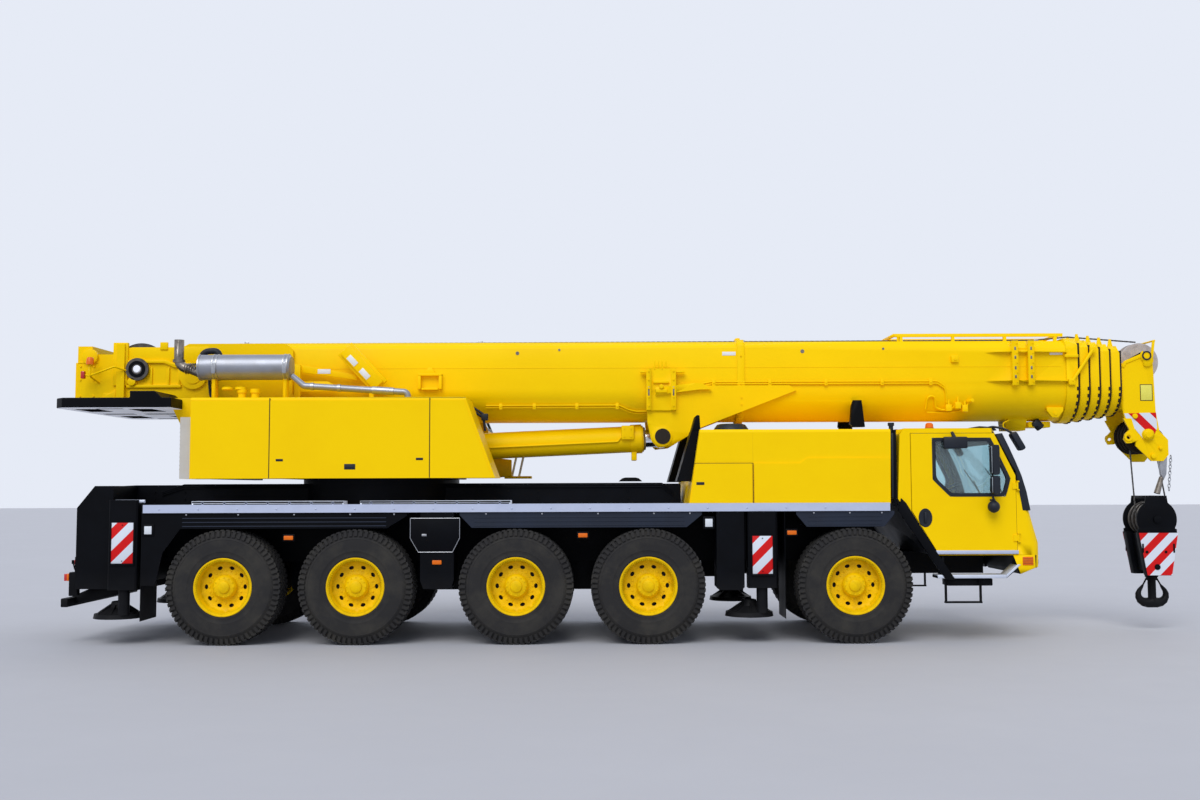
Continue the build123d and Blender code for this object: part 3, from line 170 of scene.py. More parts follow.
@dataclass(frozen=True)
class Finish:
    """A surface finish: what the real one is and how its node material draws it."""

    name: str
    slot: str
    colour: str
    shade: str = ""               # tone of its worn or dusty patches
    roughness: float = 0.5
    metallic: float = 0.0
    coat: float = 0.0
    patch_mm: float = 900.0       # size of the patches
    patch_share: float = 0.35     # how strongly the patches show
    spread: float = 0.05          # of the roughness
    grain_mm: float = 4.0         # size of the relief's grain
    grain_deep_mm: float = 0.1
    stretch: tuple[float, float, float] = (1.0, 1.0, 1.0)
    glow: float = 0.0
    clear: float = 0.0            # share of light let through
    gloss: float = 0.5            # level of the surface reflection
    dust: str = ""                # colour of road dust low on the machine
    dust_top: float = 1.2         # height at which the dust has gone

    def _base(self, tree: bpy.types.NodeTree, place: bpy.types.NodeSocket) -> bpy.types.NodeSocket:
        """Colour with patches of the shade, which a subclass may pattern."""
        patches = noise(tree, place, Scale=1000.0 / self.patch_mm, Detail=5.0, Roughness=0.62)
        share = add_node(tree, "ShaderNodeMapRange",
                         {"From Min": 0.42, "From Max": 0.72, "To Max": self.patch_share},
                         {"Value": patches})
        return blend(tree, share.outputs["Result"],
                     {FIRST: linear(self.colour), SECOND: linear(self.shade or self.colour)})

    def _dusted(self, tree: bpy.types.NodeTree, place: bpy.types.NodeSocket,
                colour: bpy.types.NodeSocket) -> bpy.types.NodeSocket:
        """Add road dust that fades out with height."""
        height = add_node(tree, "ShaderNodeSeparateXYZ", {}, {"Vector": place})
        cloud = noise(tree, place, Scale=5.0, Detail=6.0)
        low = add_node(tree, "ShaderNodeMapRange",
                       {"From Min": self.dust_top, "From Max": 0.2, "To Max": 0.75},
                       {"Value": height.outputs["Z"]})
        amount = add_node(tree, "ShaderNodeMath", {"operation": "MULTIPLY"},
                          {0: low.outputs["Result"], 1: cloud})
        return blend(tree, amount.outputs["Value"], {SECOND: linear(self.dust)},
                     {FIRST: colour})

    def material(self) -> bpy.types.Material:
        """Make the finish's material, or return it if it is there already."""
        found = bpy.data.materials.get(self.name)
        if found:
            return found
        made = bpy.data.materials.new(self.name)
        made.use_nodes = True
        tree = made.node_tree
        tree.nodes.clear()
        place = add_node(tree, "ShaderNodeTexCoord").outputs["Object"]
        colour = self._base(tree, place)
        if self.dust:
            colour = self._dusted(tree, place, colour)
        drawn = add_node(tree, "ShaderNodeMapping", {"Scale": self.stretch}, {"Vector": place})
        grain = noise(tree, drawn.outputs["Vector"], Scale=1000.0 / self.grain_mm, Detail=3.0)
        relief = add_node(tree, "ShaderNodeBump", {"Distance": self.grain_deep_mm / 1000.0},
                          {"Height": grain})
        wear = noise(tree, place, Scale=2.4, Detail=5.0)
        rough = add_node(tree, "ShaderNodeMapRange",
                         {"From Min": 0.3, "From Max": 0.7, "To Min": self.roughness - self.spread,
                          "To Max": self.roughness + self.spread}, {"Value": wear})
        shader = add_node(tree, "ShaderNodeBsdfPrincipled",
                          {"Metallic": self.metallic, "Coat Weight": self.coat,
                           "Coat Roughness": 0.12, "Transmission Weight": self.clear,
                           "Specular IOR Level": self.gloss,
                           "Emission Color": linear(self.colour), "Emission Strength": self.glow},
                          {"Base Color": colour, "Roughness": rough.outputs["Result"],
                           "Normal": relief.outputs["Normal"]})
        add_node(tree, "ShaderNodeOutputMaterial", {}, {"Surface": shader.outputs["BSDF"]})
        return made


@dataclass(frozen=True)
class Stripes(Finish):
    """Retroreflective sheet in slanting red and white stripes, as on wide loads."""

    other: str = "#d8dde6"
    width_mm: float = 100.0       # of one stripe, square to its edge
    slant: tuple[float, float, float] = (-1.0, 0.0, 1.0)

    def _base(self, tree: bpy.types.NodeTree, place: bpy.types.NodeSocket) -> bpy.types.NodeSocket:
        """Alternate the two colours along the slant."""
        pitch = 2 * self.width_mm / 1000 * math.sqrt(2)
        along = add_node(tree, "ShaderNodeVectorMath",
                         {"operation": "DOT_PRODUCT", 1: [c / pitch for c in self.slant]},
                         {0: place})
        share = add_node(tree, "ShaderNodeMath", {"operation": "FRACT"},
                         {0: along.outputs["Value"]})
        step = add_node(tree, "ShaderNodeMath", {"operation": "GREATER_THAN", 1: 0.5},
                        {0: share.outputs["Value"]})
        return blend(tree, step.outputs["Value"],
                     {FIRST: linear(self.colour), SECOND: linear(self.other)})


# Two-pack enamel sprayed on steel: even colour, soft gloss and a faint orange peel.
YELLOW = Finish("yellow_enamel", "yellow_paint", "#fcd000", "#f2c100", roughness=0.4, gloss=0.07,
                grain_mm=9.0, grain_deep_mm=0.12)
# The same enamel on wheels, where road dirt and brake dust dull it.
RIM_YELLOW = Finish("wheel_enamel", "yellow_paint", "#f4c600", "#c0970c", roughness=0.42,
                    gloss=0.1, patch_mm=120.0, patch_share=0.5, grain_mm=7.0, grain_deep_mm=0.15)
# Satin black chassis enamel: blue-black, it picks up pale dust near the road.
BLACK = Finish("chassis_enamel", "black_paint", "#07080c", "#0f1219", roughness=0.45,
               gloss=0.07, patch_mm=350.0, dust="#333231", dust_top=0.9, grain_mm=6.0,
               grain_deep_mm=0.2)
# Moulded polyethylene wing sheet: dark blue-grey with a low sheen.
WING = Finish("wing_polyethylene", "black_paint", "#1c2331", "#263145", roughness=0.5,
              gloss=0.25, patch_mm=500.0, grain_mm=2.5, grain_deep_mm=0.12)
# Natural rubber with road dust: matt, brown-grey in patches.
RUBBER = Finish("tyre_rubber", "tyre", "#2c2b2b", "#46433c", roughness=0.82, gloss=0.15,
                patch_mm=260.0, patch_share=0.5, grain_mm=5.0, grain_deep_mm=0.5)
# Mill-finish aluminium plank, drawn along the machine.
ALUMINIUM = Finish("mill_aluminium", "deck_aluminium", "#bcc4da", "#a4adc4", roughness=0.45,
                   metallic=0.3, patch_mm=260.0, grain_mm=3.0, grain_deep_mm=0.06,
                   stretch=(0.05, 1.0, 1.0))
# Aluminised steel sheet of the silencer: pale, rolled round the drum.
SILENCER = Finish("aluminised_sheet", "silencer_steel", "#989ba4", "#7f7c77", roughness=0.42,
                  metallic=0.75, patch_mm=220.0, grain_mm=4.0, grain_deep_mm=0.08,
                  stretch=(1.0, 0.2, 0.2))
# Heat-stained steel elbow of the exhaust.
ELBOW = Finish("heated_steel", "silencer_steel", "#8d857c", "#4a423a", roughness=0.34,
               metallic=0.8, patch_mm=70.0, patch_share=0.7)
# Soot and grease on old pins: dark brown, quite matt. In holes, slots and gaps the same dark is
# painted shade.
SOOT_AND_SHADE = Finish("greasy_steel", "black_paint", "#2a221a", "#15110d", roughness=0.6, gloss=0.2,
              patch_mm=40.0)
# Extruded rungs and stiles of the loose ladders, brighter than the trodden deck.
LADDER = Finish("extruded_aluminium", "deck_aluminium", "#cdd3e0", "#b4bccd", roughness=0.4,
                metallic=0.2, patch_mm=180.0, grain_mm=3.0, grain_deep_mm=0.05,
                stretch=(0.05, 1.0, 1.0))
# Powder-coated cooler frame, weathered to a warm grey.
COOLER = Finish("grey_powder_coat", "deck_aluminium", "#c2beb6", "#b0aa9e", roughness=0.6,
                gloss=0.3, patch_mm=200.0)
# Hard chrome on the cylinder rod.
CHROME = Finish("hard_chrome", "bright_steel", "#d5d7da", "#c2c4c8", roughness=0.16,
                metallic=1.0, grain_mm=2.0, grain_deep_mm=0.01)
# Galvanised rope wire under grease: dark, with bright crowns.
WIRE = Finish("greased_wire", "bright_steel", "#5c5b5a", "#35312c", roughness=0.45,
              metallic=0.7, patch_mm=30.0, patch_share=0.8, grain_mm=1.5, grain_deep_mm=0.3)
# Zinc-plated steel of pins, clamps and chain.
ZINC = Finish("zinc_plate", "bright_steel", "#a9abb0", "#7d7f84", roughness=0.35, metallic=0.85,
              patch_mm=40.0)
# Cast engine block in grey primer.
CASTING = Finish("grey_casting", "cast_block", "#6f7275", "#4b4d50", roughness=0.62,
                 grain_mm=3.0, grain_deep_mm=0.6, patch_mm=200.0)
# Ribbed nylon rope sheave: milky grey, greasy in the groove.
NYLON = Finish("cast_nylon", "sheave_steel", "#bdb6b4", "#8b8480", roughness=0.42,
               patch_mm=90.0, patch_share=0.6)
# Steel sheaves that the rope keeps dark.
SHEAVE = Finish("oiled_steel", "sheave_steel", "#57534f", "#2e2b29", roughness=0.4,
                metallic=0.6, patch_mm=60.0, patch_share=0.7)
# Grained ABS of mirrors, cab trim and seals.
PLASTIC = Finish("grained_abs", "grey_trim", "#161b24", "#232a36", roughness=0.5, gloss=0.3,
                 grain_mm=1.2, grain_deep_mm=0.12, patch_mm=200.0)
# Woven seat cloth.
CLOTH = Finish("seat_cloth", "grey_trim", "#3b4048", "#2b2f36", roughness=0.9, grain_mm=2.0,
               grain_deep_mm=0.4, patch_mm=80.0)
# Tinted safety glass: blue-green, it reflects the pale yard.
GLASS = Finish("tinted_glass", "grey_trim", "#d4eef2", "#c2e5eb", roughness=0.03, spread=0.01,
               clear=0.94, grain_mm=400.0, grain_deep_mm=0.2, patch_mm=1500.0)
# Mirror glass in its housing.
MIRROR = Finish("silvered_glass", "bright_steel", "#dfe4e8", "#d2d8dd", roughness=0.04,
                spread=0.01, metallic=1.0, grain_mm=300.0, grain_deep_mm=0.05)
# Moulded lenses, lit a little from inside so that they read as lamps.
AMBER = Finish("amber_lens", "yellow_paint", "#e06a06", "#b64a00", roughness=0.3, gloss=0.3,
               patch_mm=30.0, glow=0.05)
RED_LENS = Finish("red_lens", "black_paint", "#b81414", "#8f0d0d", roughness=0.18, coat=0.5,
                  glow=0.08, patch_mm=25.0)
WHITE_LENS = Finish("white_lens", "deck_aluminium", "#d9dde2", "#c3c8ce", roughness=0.2,
                    coat=0.5, patch_mm=25.0)
# Grey-white primer under the ballast plate and on blank plates, drawn near white with a faint glow:
# painted light on these shaded faces.
PRIMER_PAINTED_GLOW = Finish("pale_primer", "deck_aluminium", "#f4f7ff", "#dfe5f2", roughness=0.55, glow=0.12,
                patch_mm=300.0, grain_mm=5.0, grain_deep_mm=0.15)
# Blank printed foil of the small plates: pale yellow, and white.
FOIL = Finish("label_foil", "yellow_paint", "#e6dd5a", "#d8cd48", roughness=0.3, patch_mm=60.0)
WHITE_FOIL = Finish("white_foil", "deck_aluminium", "#e4e6ea", "#d2d5da", roughness=0.3,
                    patch_mm=60.0)
# Retroreflective sheet: glass beads under a clear film, red stripe first.
STRIPES = Stripes("striped_sheet", "black_paint", "#d01212", roughness=0.35, gloss=0.2,
                  grain_mm=3.0, grain_deep_mm=0.05)
# The same sheet hung the other way up at the rear, so that its pale stripe comes first.
REAR_STRIPES = Stripes("striped_sheet_rear", "black_paint", "#d8dde6", roughness=0.35, gloss=0.2,
                       grain_mm=3.0, grain_deep_mm=0.05, other="#d01212")
# The sheet on the boom's head, whose wider stripes slant the other way.
HEAD_STRIPES = Stripes("striped_sheet_head", "black_paint", "#d8dde6", roughness=0.35, gloss=0.2,
                       grain_mm=3.0, grain_deep_mm=0.05, other="#d01212",
                       slant=(1.0, 0.0, 1.0), width_mm=105.0)


# ------------------------------------------------------------------------- modelling
def corners(made: Iterable[object]) -> list[BMVert]:
    """Pick the corners out of what a mesh operation made."""
    return [v for v in made if isinstance(v, BMVert)]


def edges_at(verts: Iterable[BMVert]) -> list[BMEdge]:
    """Edges that meet at some corners, each once and in the same order every run."""
    return list(dict.fromkeys(e for v in verts for e in v.link_edges))


def ends_of(edges: Iterable[BMEdge]) -> list[BMVert]:
    """Corners at the ends of some edges, each once and in the same order every run."""
    return list(dict.fromkeys(v for e in edges for v in e.verts))


class Shape:
    """A mesh in the making, from which one finished piece comes."""

    fresh = True             # a fresh mesh has its faces turned outwards at the end

    def __init__(self) -> None:
        """Start with an empty mesh."""
        self.mesh = bmesh.new()

    def _whole(self) -> list[object]:
        """All corners, edges and faces made so far."""
        return [*self.mesh.verts, *self.mesh.edges, *self.mesh.faces]

    def _soften(self, verts: Iterable[BMVert], width: float,
                keep: Callable[[BMEdge], bool] = lambda edge: True) -> None:
        """Bevel the edges of a fresh primitive."""
        if width <= 0:
            return
        bmesh.ops.bevel(self.mesh, geom=[e for e in edges_at(verts) if keep(e)], offset=width,
                        offset_type="OFFSET", segments=2, profile=0.5, affect="EDGES",
                        material=-1, clamp_overlap=True)

    def box(self, low: Point, high: Point, bevel: float = 0.003,
            turn: Matrix | None = None) -> "Shape":
        """Add a box between two corners, turned about its middle.

        Args:
            low: lowest corner before the turn.
            high: highest corner before the turn.
            bevel: width of the rounded edges.
            turn: rotation about the box's middle.

        Returns:
            This shape, so that calls can follow each other.
        """
        size, middle = Vector(high) - Vector(low), (Vector(high) + Vector(low)) / 2
        verts = bmesh.ops.create_cube(self.mesh, size=1.0)["verts"]
        bmesh.ops.scale(self.mesh, vec=[abs(c) for c in size], verts=verts)
        if turn:
            bmesh.ops.rotate(self.mesh, cent=(0, 0, 0), matrix=turn, verts=verts)
        bmesh.ops.translate(self.mesh, vec=middle, verts=verts)
        self._soften(verts, min(bevel, 0.3 * min(abs(c) for c in size)))
        return self

    def rod(self, start: Point, end: Point, radius: float, tip: float | None = None,
            sides: int = 20, bevel: float = 0.0) -> "Shape":
        """Add a round or many-sided bar between two points.

        Args:
            start: middle of its first end.
            end: middle of its other end.
            radius: radius at the start.
            tip: radius at the end, the same if left out.
            sides: number of flats round it.
            bevel: width of the rounded end edges.

        Returns:
            This shape.
        """
        start, end = Vector(start), Vector(end)
        along = end - start
        verts = bmesh.ops.create_cone(self.mesh, cap_ends=True, cap_tris=False, segments=sides,
                                      radius1=radius, radius2=radius if tip is None else tip,
                                      depth=along.length)["verts"]
        bmesh.ops.rotate(self.mesh, cent=(0, 0, 0), verts=verts,
                         matrix=along.to_track_quat("Z", "Y").to_matrix())
        bmesh.ops.translate(self.mesh, vec=(start + end) / 2, verts=verts)
        self._soften(verts, bevel, lambda e: any(len(f.verts) == sides for f in e.link_faces))
        return self

    def prism(self, outline: Sequence[tuple[float, float]], low: float, high: float,
              axis: Axis = Axis.Y, bevel: float = 0.0) -> "Shape":
        """Extrude a closed outline along one axis.

        Args:
            outline: corners as (X, Z) for axis Y, (Y, Z) for X and (X, Y) for Z.
            low: where the extrusion starts on the axis.
            high: where it ends.
            axis: direction of the extrusion.
            bevel: width of its rounded edges.

        Returns:
            This shape.
        """
        place = {Axis.X: lambda a, b: (low, a, b), Axis.Y: lambda a, b: (a, low, b),
                 Axis.Z: lambda a, b: (a, b, low)}[axis]
        verts = [self.mesh.verts.new(place(a, b)) for a, b in outline]
        made = bmesh.ops.extrude_face_region(self.mesh, geom=[self.mesh.faces.new(verts)])
        moved = corners(made["geom"])
        bmesh.ops.translate(self.mesh, vec=axis.vector * (high - low), verts=moved)
        self._soften([*verts, *moved], bevel)
        return self

    def turned(self, profile: Sequence[tuple[float, float]], centre: Point,
               axis: Axis = Axis.Y, steps: int = 32, closed: bool = False) -> "Shape":
        """Turn a profile about an axis, as on a lathe.

        Args:
            profile: points as (radius, place along the axis from the centre).
            centre: point on the axis.
            axis: direction of the axis.
            steps: number of flats round it.
            closed: whether the last point joins the first.

        Returns:
            This shape.
        """
        out = Axis.Z.vector if axis is not Axis.Z else Axis.X.vector
        middle = Vector(centre)
        verts = [self.mesh.verts.new(middle + out * r + axis.vector * a) for r, a in profile]
        pairs = zip(verts, verts[1:] + verts[:1] if closed else verts[1:])
        edges = [self.mesh.edges.new(pair) for pair in pairs]
        bmesh.ops.spin(self.mesh, geom=[*verts, *edges], cent=middle, axis=axis.vector,
                       dvec=(0, 0, 0), angle=2 * math.pi, steps=steps, use_merge=True)
        return self

    def ball(self, centre: Point, radius: float, squash: float = 1.0) -> "Shape":
        """Add a sphere, flattened along Z by a share."""
        verts = bmesh.ops.create_uvsphere(self.mesh, u_segments=20, v_segments=12,
                                          radius=radius)["verts"]
        bmesh.ops.scale(self.mesh, vec=(1, 1, squash), verts=verts)
        bmesh.ops.translate(self.mesh, vec=centre, verts=verts)
        return self

    def pipe(self, route: Sequence[Point], radius: float, bend: float = 0.0,
             sides: int = 12) -> "Shape":
        """Run a bent tube through corner points.

        Args:
            route: its start, its corners and its end.
            radius: outer radius of the tube.
            bend: radius of its bends, three times its own if left out.
            sides: number of flats round it.

        Returns:
            This shape.
        """
        points = [Vector(p) for p in route]
        bend = bend or 3 * radius
        at, heading = points[0], (points[1] - points[0]).normalized()
        turn = heading.to_track_quat("Z", "Y").to_matrix().to_4x4()
        ring = bmesh.ops.create_circle(self.mesh, cap_ends=False, radius=radius, segments=sides,
                                       matrix=Matrix.Translation(at) @ turn)["verts"]
        front = edges_at(ring)
        bmesh.ops.contextual_create(self.mesh, geom=front)
        for here, after in zip(points[1:-1], points[2:]):
            leaving = (after - here).normalized()
            angle = heading.angle(leaving)
            if angle < 0.02:
                continue
            run = min((here - at).length, (after - here).length / 2)
            radius_here = min(bend, 0.95 * run / math.tan(angle / 2))
            setback = radius_here * math.tan(angle / 2)
            corner = here - heading * setback
            front = self._drawn(front, corner - at)
            normal = heading.cross(leaving).normalized()
            centre = corner + normal.cross(heading) * radius_here
            spun = bmesh.ops.spin(self.mesh, geom=[*front, *ends_of(front)],
                                  cent=centre, axis=normal, dvec=(0, 0, 0), angle=angle,
                                  steps=max(3, round(angle / 0.3)))
            front = [e for e in spun["geom_last"] if isinstance(e, BMEdge)]
            at, heading = here + leaving * setback, leaving
        front = self._drawn(front, points[-1] - at)
        bmesh.ops.contextual_create(self.mesh, geom=front)
        return self

    def _drawn(self, front: list[BMEdge], shift: Vector) -> list[BMEdge]:
        """Extrude a ring of edges by a shift and return its far end."""
        made = bmesh.ops.extrude_edge_only(self.mesh, edges=front)["geom"]
        bmesh.ops.translate(self.mesh, vec=shift, verts=corners(made))
        return [e for e in made if isinstance(e, BMEdge)]

    def rope(self, start: Point, end: Point, radius: float, strands: int = 6) -> "Shape":
        """Lay a straight wire rope: a lobed section that turns as it is drawn out."""
        start, end = Vector(start), Vector(end)
        along = end - start
        turn = along.to_track_quat("Z", "Y").to_matrix().to_4x4()
        verts = bmesh.ops.create_circle(self.mesh, cap_ends=False, radius=radius,
                                        segments=2 * strands,
                                        matrix=Matrix.Translation(start) @ turn)["verts"]
        bmesh.ops.scale(self.mesh, vec=(0.8, 0.8, 0.8), verts=verts[::2],
                        space=Matrix.Translation(-start))
        front = edges_at(verts)
        steps = max(2, round(along.length / (3.2 * radius)))
        lay = Matrix.Rotation(math.radians(30), 3, along)
        for _ in range(steps):
            front = self._drawn(front, along / steps)
            bmesh.ops.rotate(self.mesh, cent=start, matrix=lay, verts=ends_of(front))
        return self

    def repeated(self, count: int, pitch: Point) -> "Shape":
        """Repeat all that is here, each copy one pitch further on."""
        first = self._whole()
        for number in range(1, count):
            copy = bmesh.ops.duplicate(self.mesh, geom=first)["geom"]
            bmesh.ops.translate(self.mesh, vec=Vector(pitch) * number, verts=corners(copy))
        return self

    def ringed(self, count: int, centre: Point, axis: Axis = Axis.Y) -> "Shape":
        """Repeat all that is here evenly round an axis."""
        bmesh.ops.spin(self.mesh, geom=self._whole(), cent=centre, axis=axis.vector,
                       dvec=(0, 0, 0), angle=2 * math.pi * (count - 1) / count,
                       steps=count - 1, use_duplicate=True)
        return self

    def mirrored(self) -> "Shape":
        """Add the same shape on the other side of the crane's middle plane."""
        copy = bmesh.ops.duplicate(self.mesh, geom=self._whole())
        bmesh.ops.scale(self.mesh, vec=(1, -1, 1), verts=corners(copy["geom"]))
        return self

    def joined(self, other: "Shape") -> "Shape":
        """Take over all of another shape, which is used up by it."""
        held = bpy.data.meshes.new("held")
        other.mesh.to_mesh(held)
        other.mesh.free()
        self.mesh.from_mesh(held)
        bpy.data.meshes.remove(held)
        return self

    def heads(self, places: Iterable[tuple[float, float]], inner: float, outer: float,
              radius: float, sides: int = 6) -> "Shape":
        """Set the heads of bolts or screws that point across the crane.

        Args:
            places: their middles as (X, Z).
            inner: where across the crane they start.
            outer: where they end.
            radius: radius of a head.
            sides: number of flats round it.

        Returns:
            This shape.
        """
        for x, z in places:
            self.rod((x, inner, z), (x, outer, z), radius, sides=sides)
        return self

    def piece(self, name: str, body: str, *finishes: Finish,
              crease: float = 35.0) -> bpy.types.Object:
        """Finish the mesh as a named piece that rides on a body.

        Args:
            name: name of the piece.
            body: body of the frame that it moves with.
            *finishes: its finishes, in the order of the faces' material numbers.
            crease: angle in degrees over which an edge stays sharp.

        Returns:
            The new object.
        """
        bmesh.ops.remove_doubles(self.mesh, verts=self.mesh.verts, dist=MERGE)
        if self.fresh:
            bmesh.ops.recalc_face_normals(self.mesh, faces=self.mesh.faces)
        mesh = bpy.data.meshes.new(name)
        self.mesh.to_mesh(mesh)
        self.mesh.free()
        for finish in finishes:
            mesh.materials.append(finish.material())
        mesh.shade_smooth()
        mesh.set_sharp_from_angle(angle=math.radians(crease))
        made = in_scene(name, mesh)
        if not self.fresh:
            even = made.modifiers.new("even_shading", "WEIGHTED_NORMAL")
            even.keep_sharp = True
        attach(made, body)
        LOG.info("%s: %d faces on %s", name, len(mesh.polygons), body)
        return made


class SolidCopy(Shape):
    """A copy of a solid of the frame, whose edges are rounded and whose faces are painted."""

    fresh = False

    def __init__(self, source: bpy.types.Object) -> None:
        """Merge the solid's loose triangles and join those that lie in one plane."""
        super().__init__()
        self.mesh.from_mesh(source.data)
        bmesh.ops.remove_doubles(self.mesh, verts=self.mesh.verts, dist=MERGE)
        for face in self.mesh.faces:
            face.material_index = 0

    def keep(self, wanted: Callable[[Vector], bool]) -> "SolidCopy":
        """Keep only the faces whose every corner passes a test."""
        doomed = [f for f in self.mesh.faces if not all(wanted(v.co) for v in f.verts)]
        bmesh.ops.delete(self.mesh, geom=doomed, context="FACES")
        return self

    def moved(self, rule: Callable[[Vector], Point | None]) -> "SolidCopy":
        """Move corners to the places a rule gives; where it gives none, they stay."""
        for vert in self.mesh.verts:
            place = rule(vert.co)
            if place is not None:
                vert.co = place
        return self

    def sliced(self, axis: Axis, *places: float) -> "SolidCopy":
        """Cut the faces along planes across an axis, so that they can be bent there."""
        for place in places:
            bmesh.ops.bisect_plane(self.mesh, geom=self._whole(), plane_no=axis.vector,
                                   plane_co=axis.vector * place)
        return self

    def rounded(self, width: float, shortest: float = 0.06) -> "SolidCopy":
        """Round the long sharp edges, as on folded or pressed sheet.

        Args:
            width: width of the rounding.
            shortest: length under which an edge stays as it is.

        Returns:
            This shape.
        """
        bmesh.ops.dissolve_limit(self.mesh, angle_limit=math.radians(0.4), delimit={"MATERIAL"},
                                 verts=self.mesh.verts, edges=self.mesh.edges)
        sharp = [e for e in self.mesh.edges if e.is_manifold and e.calc_length() > shortest
                 and e.calc_face_angle() > math.radians(35)
                 and min(f.calc_area() for f in e.link_faces) > shortest * 3 * width]
        bmesh.ops.bevel(self.mesh, geom=sharp, offset=width, offset_type="OFFSET", segments=2,
                        profile=0.5, affect="EDGES", material=-1, clamp_overlap=True)
        return self

    def painted(self, number: int, where: Callable[[Vector, Vector], bool]) -> "SolidCopy":
        """Give a material number to the faces whose middle and normal pass a test."""
        for face in self.mesh.faces:
            if where(face.calc_center_median(), face.normal):
                face.material_index = number
        return self


def dress(nodes: dict[str, bpy.types.Object], finish: Finish, *names: str) -> None:
    """Give solids of the frame a finish in their material slots."""
    for name in names:
        for slot in nodes[name].material_slots:
            slot.material = finish.material()


# ------------------------------------------------------------------------- studio
@dataclass
class Studio:
    """Pale floor, soft light and the camera."""

    lens_mm: float = 37.38
    place: tuple[float, float, float] = (-0.370, -17.05, 1.93)
    pitch_deg: float = 4.07
    roll: float = -0.0033
    floor_colour: str = "#b3b3b7"
    sky_colour: str = "#e6ebf6"

    def camera(self) -> None:
        """Set up the camera, level but for its small pitch and roll."""
        lens = bpy.data.cameras.new("camera")
        lens.sensor_width, lens.lens = 36.0, self.lens_mm
        lens.clip_end = 500.0
        seen = in_scene("camera", lens)
        turn = Matrix.Rotation(math.radians(90 + self.pitch_deg), 4, "X")
        seen.matrix_world = (Matrix.Translation(self.place) @ turn
                             @ Matrix.Rotation(self.roll, 4, "Z"))
        bpy.context.scene.camera = seen

    def world(self) -> None:
        """Light all round from an overcast sky, and show a pale background."""
        world = bpy.data.worlds.new("overcast")
        world.use_nodes = True
        tree = world.node_tree
        tree.nodes.clear()
        rays = add_node(tree, "ShaderNodeLightPath")
        seen = add_node(tree, "ShaderNodeMath", {"operation": "MAXIMUM"},
                        {0: rays.outputs["Is Camera Ray"], 1: rays.outputs["Is Glossy Ray"]})
        shown = add_node(tree, "ShaderNodeMath", {"operation": "MAXIMUM"},
                         {0: seen.outputs["Value"], 1: rays.outputs["Is Transmission Ray"]})
        lit = add_node(tree, "ShaderNodeBackground", {"Color": linear("#dfe8fb"),
                                                      "Strength": 0.78})
        pale = add_node(tree, "ShaderNodeBackground", {"Color": linear(self.sky_colour),
                                                       "Strength": 1.0})
        mixed = add_node(tree, "ShaderNodeMixShader", {},
                         {0: shown.outputs["Value"], 1: lit.outputs["Background"],
                          2: pale.outputs["Background"]})
        add_node(tree, "ShaderNodeOutputWorld", {}, {"Surface": mixed.outputs["Shader"]})
        bpy.context.scene.world = world

    def lamp(self, name: str, energy: float, angle_deg: float, toward: Point) -> None:
        """Hang one broad lamp that shines along a direction."""
        light = bpy.data.lights.new(name, "SUN")
        light.energy, light.angle = energy, math.radians(angle_deg)
        hung = in_scene(name, light)
        hung.rotation_euler = Vector(toward).to_track_quat("-Z", "Y").to_euler()

    def floor(self) -> None:
        """Lay a wide pale floor with a fine cast-concrete grain."""
        concrete = Finish("pale_floor", "", self.floor_colour, "#b9b9bd", roughness=0.8,
                          patch_mm=2500.0, grain_mm=12.0, grain_deep_mm=0.4)
        slab = Shape()
        bmesh.ops.create_grid(slab.mesh, x_segments=1, y_segments=1, size=120.0)
        mesh = bpy.data.meshes.new("floor")
        slab.mesh.to_mesh(mesh)
        slab.mesh.free()
        mesh.materials.append(concrete.material())
        laid = in_scene("floor", mesh)

    def build(self) -> None:
        """Set the camera, the floor and the light."""
        self.camera()
        self.world()
        self.lamp("key", 1.75, 40.0, (0.18, 0.68, -0.71))
        self.lamp("fill", 0.3, 60.0, (-0.4, -0.7, -0.6))
        self.floor()
        bpy.context.scene.view_settings.view_transform = "Standard"


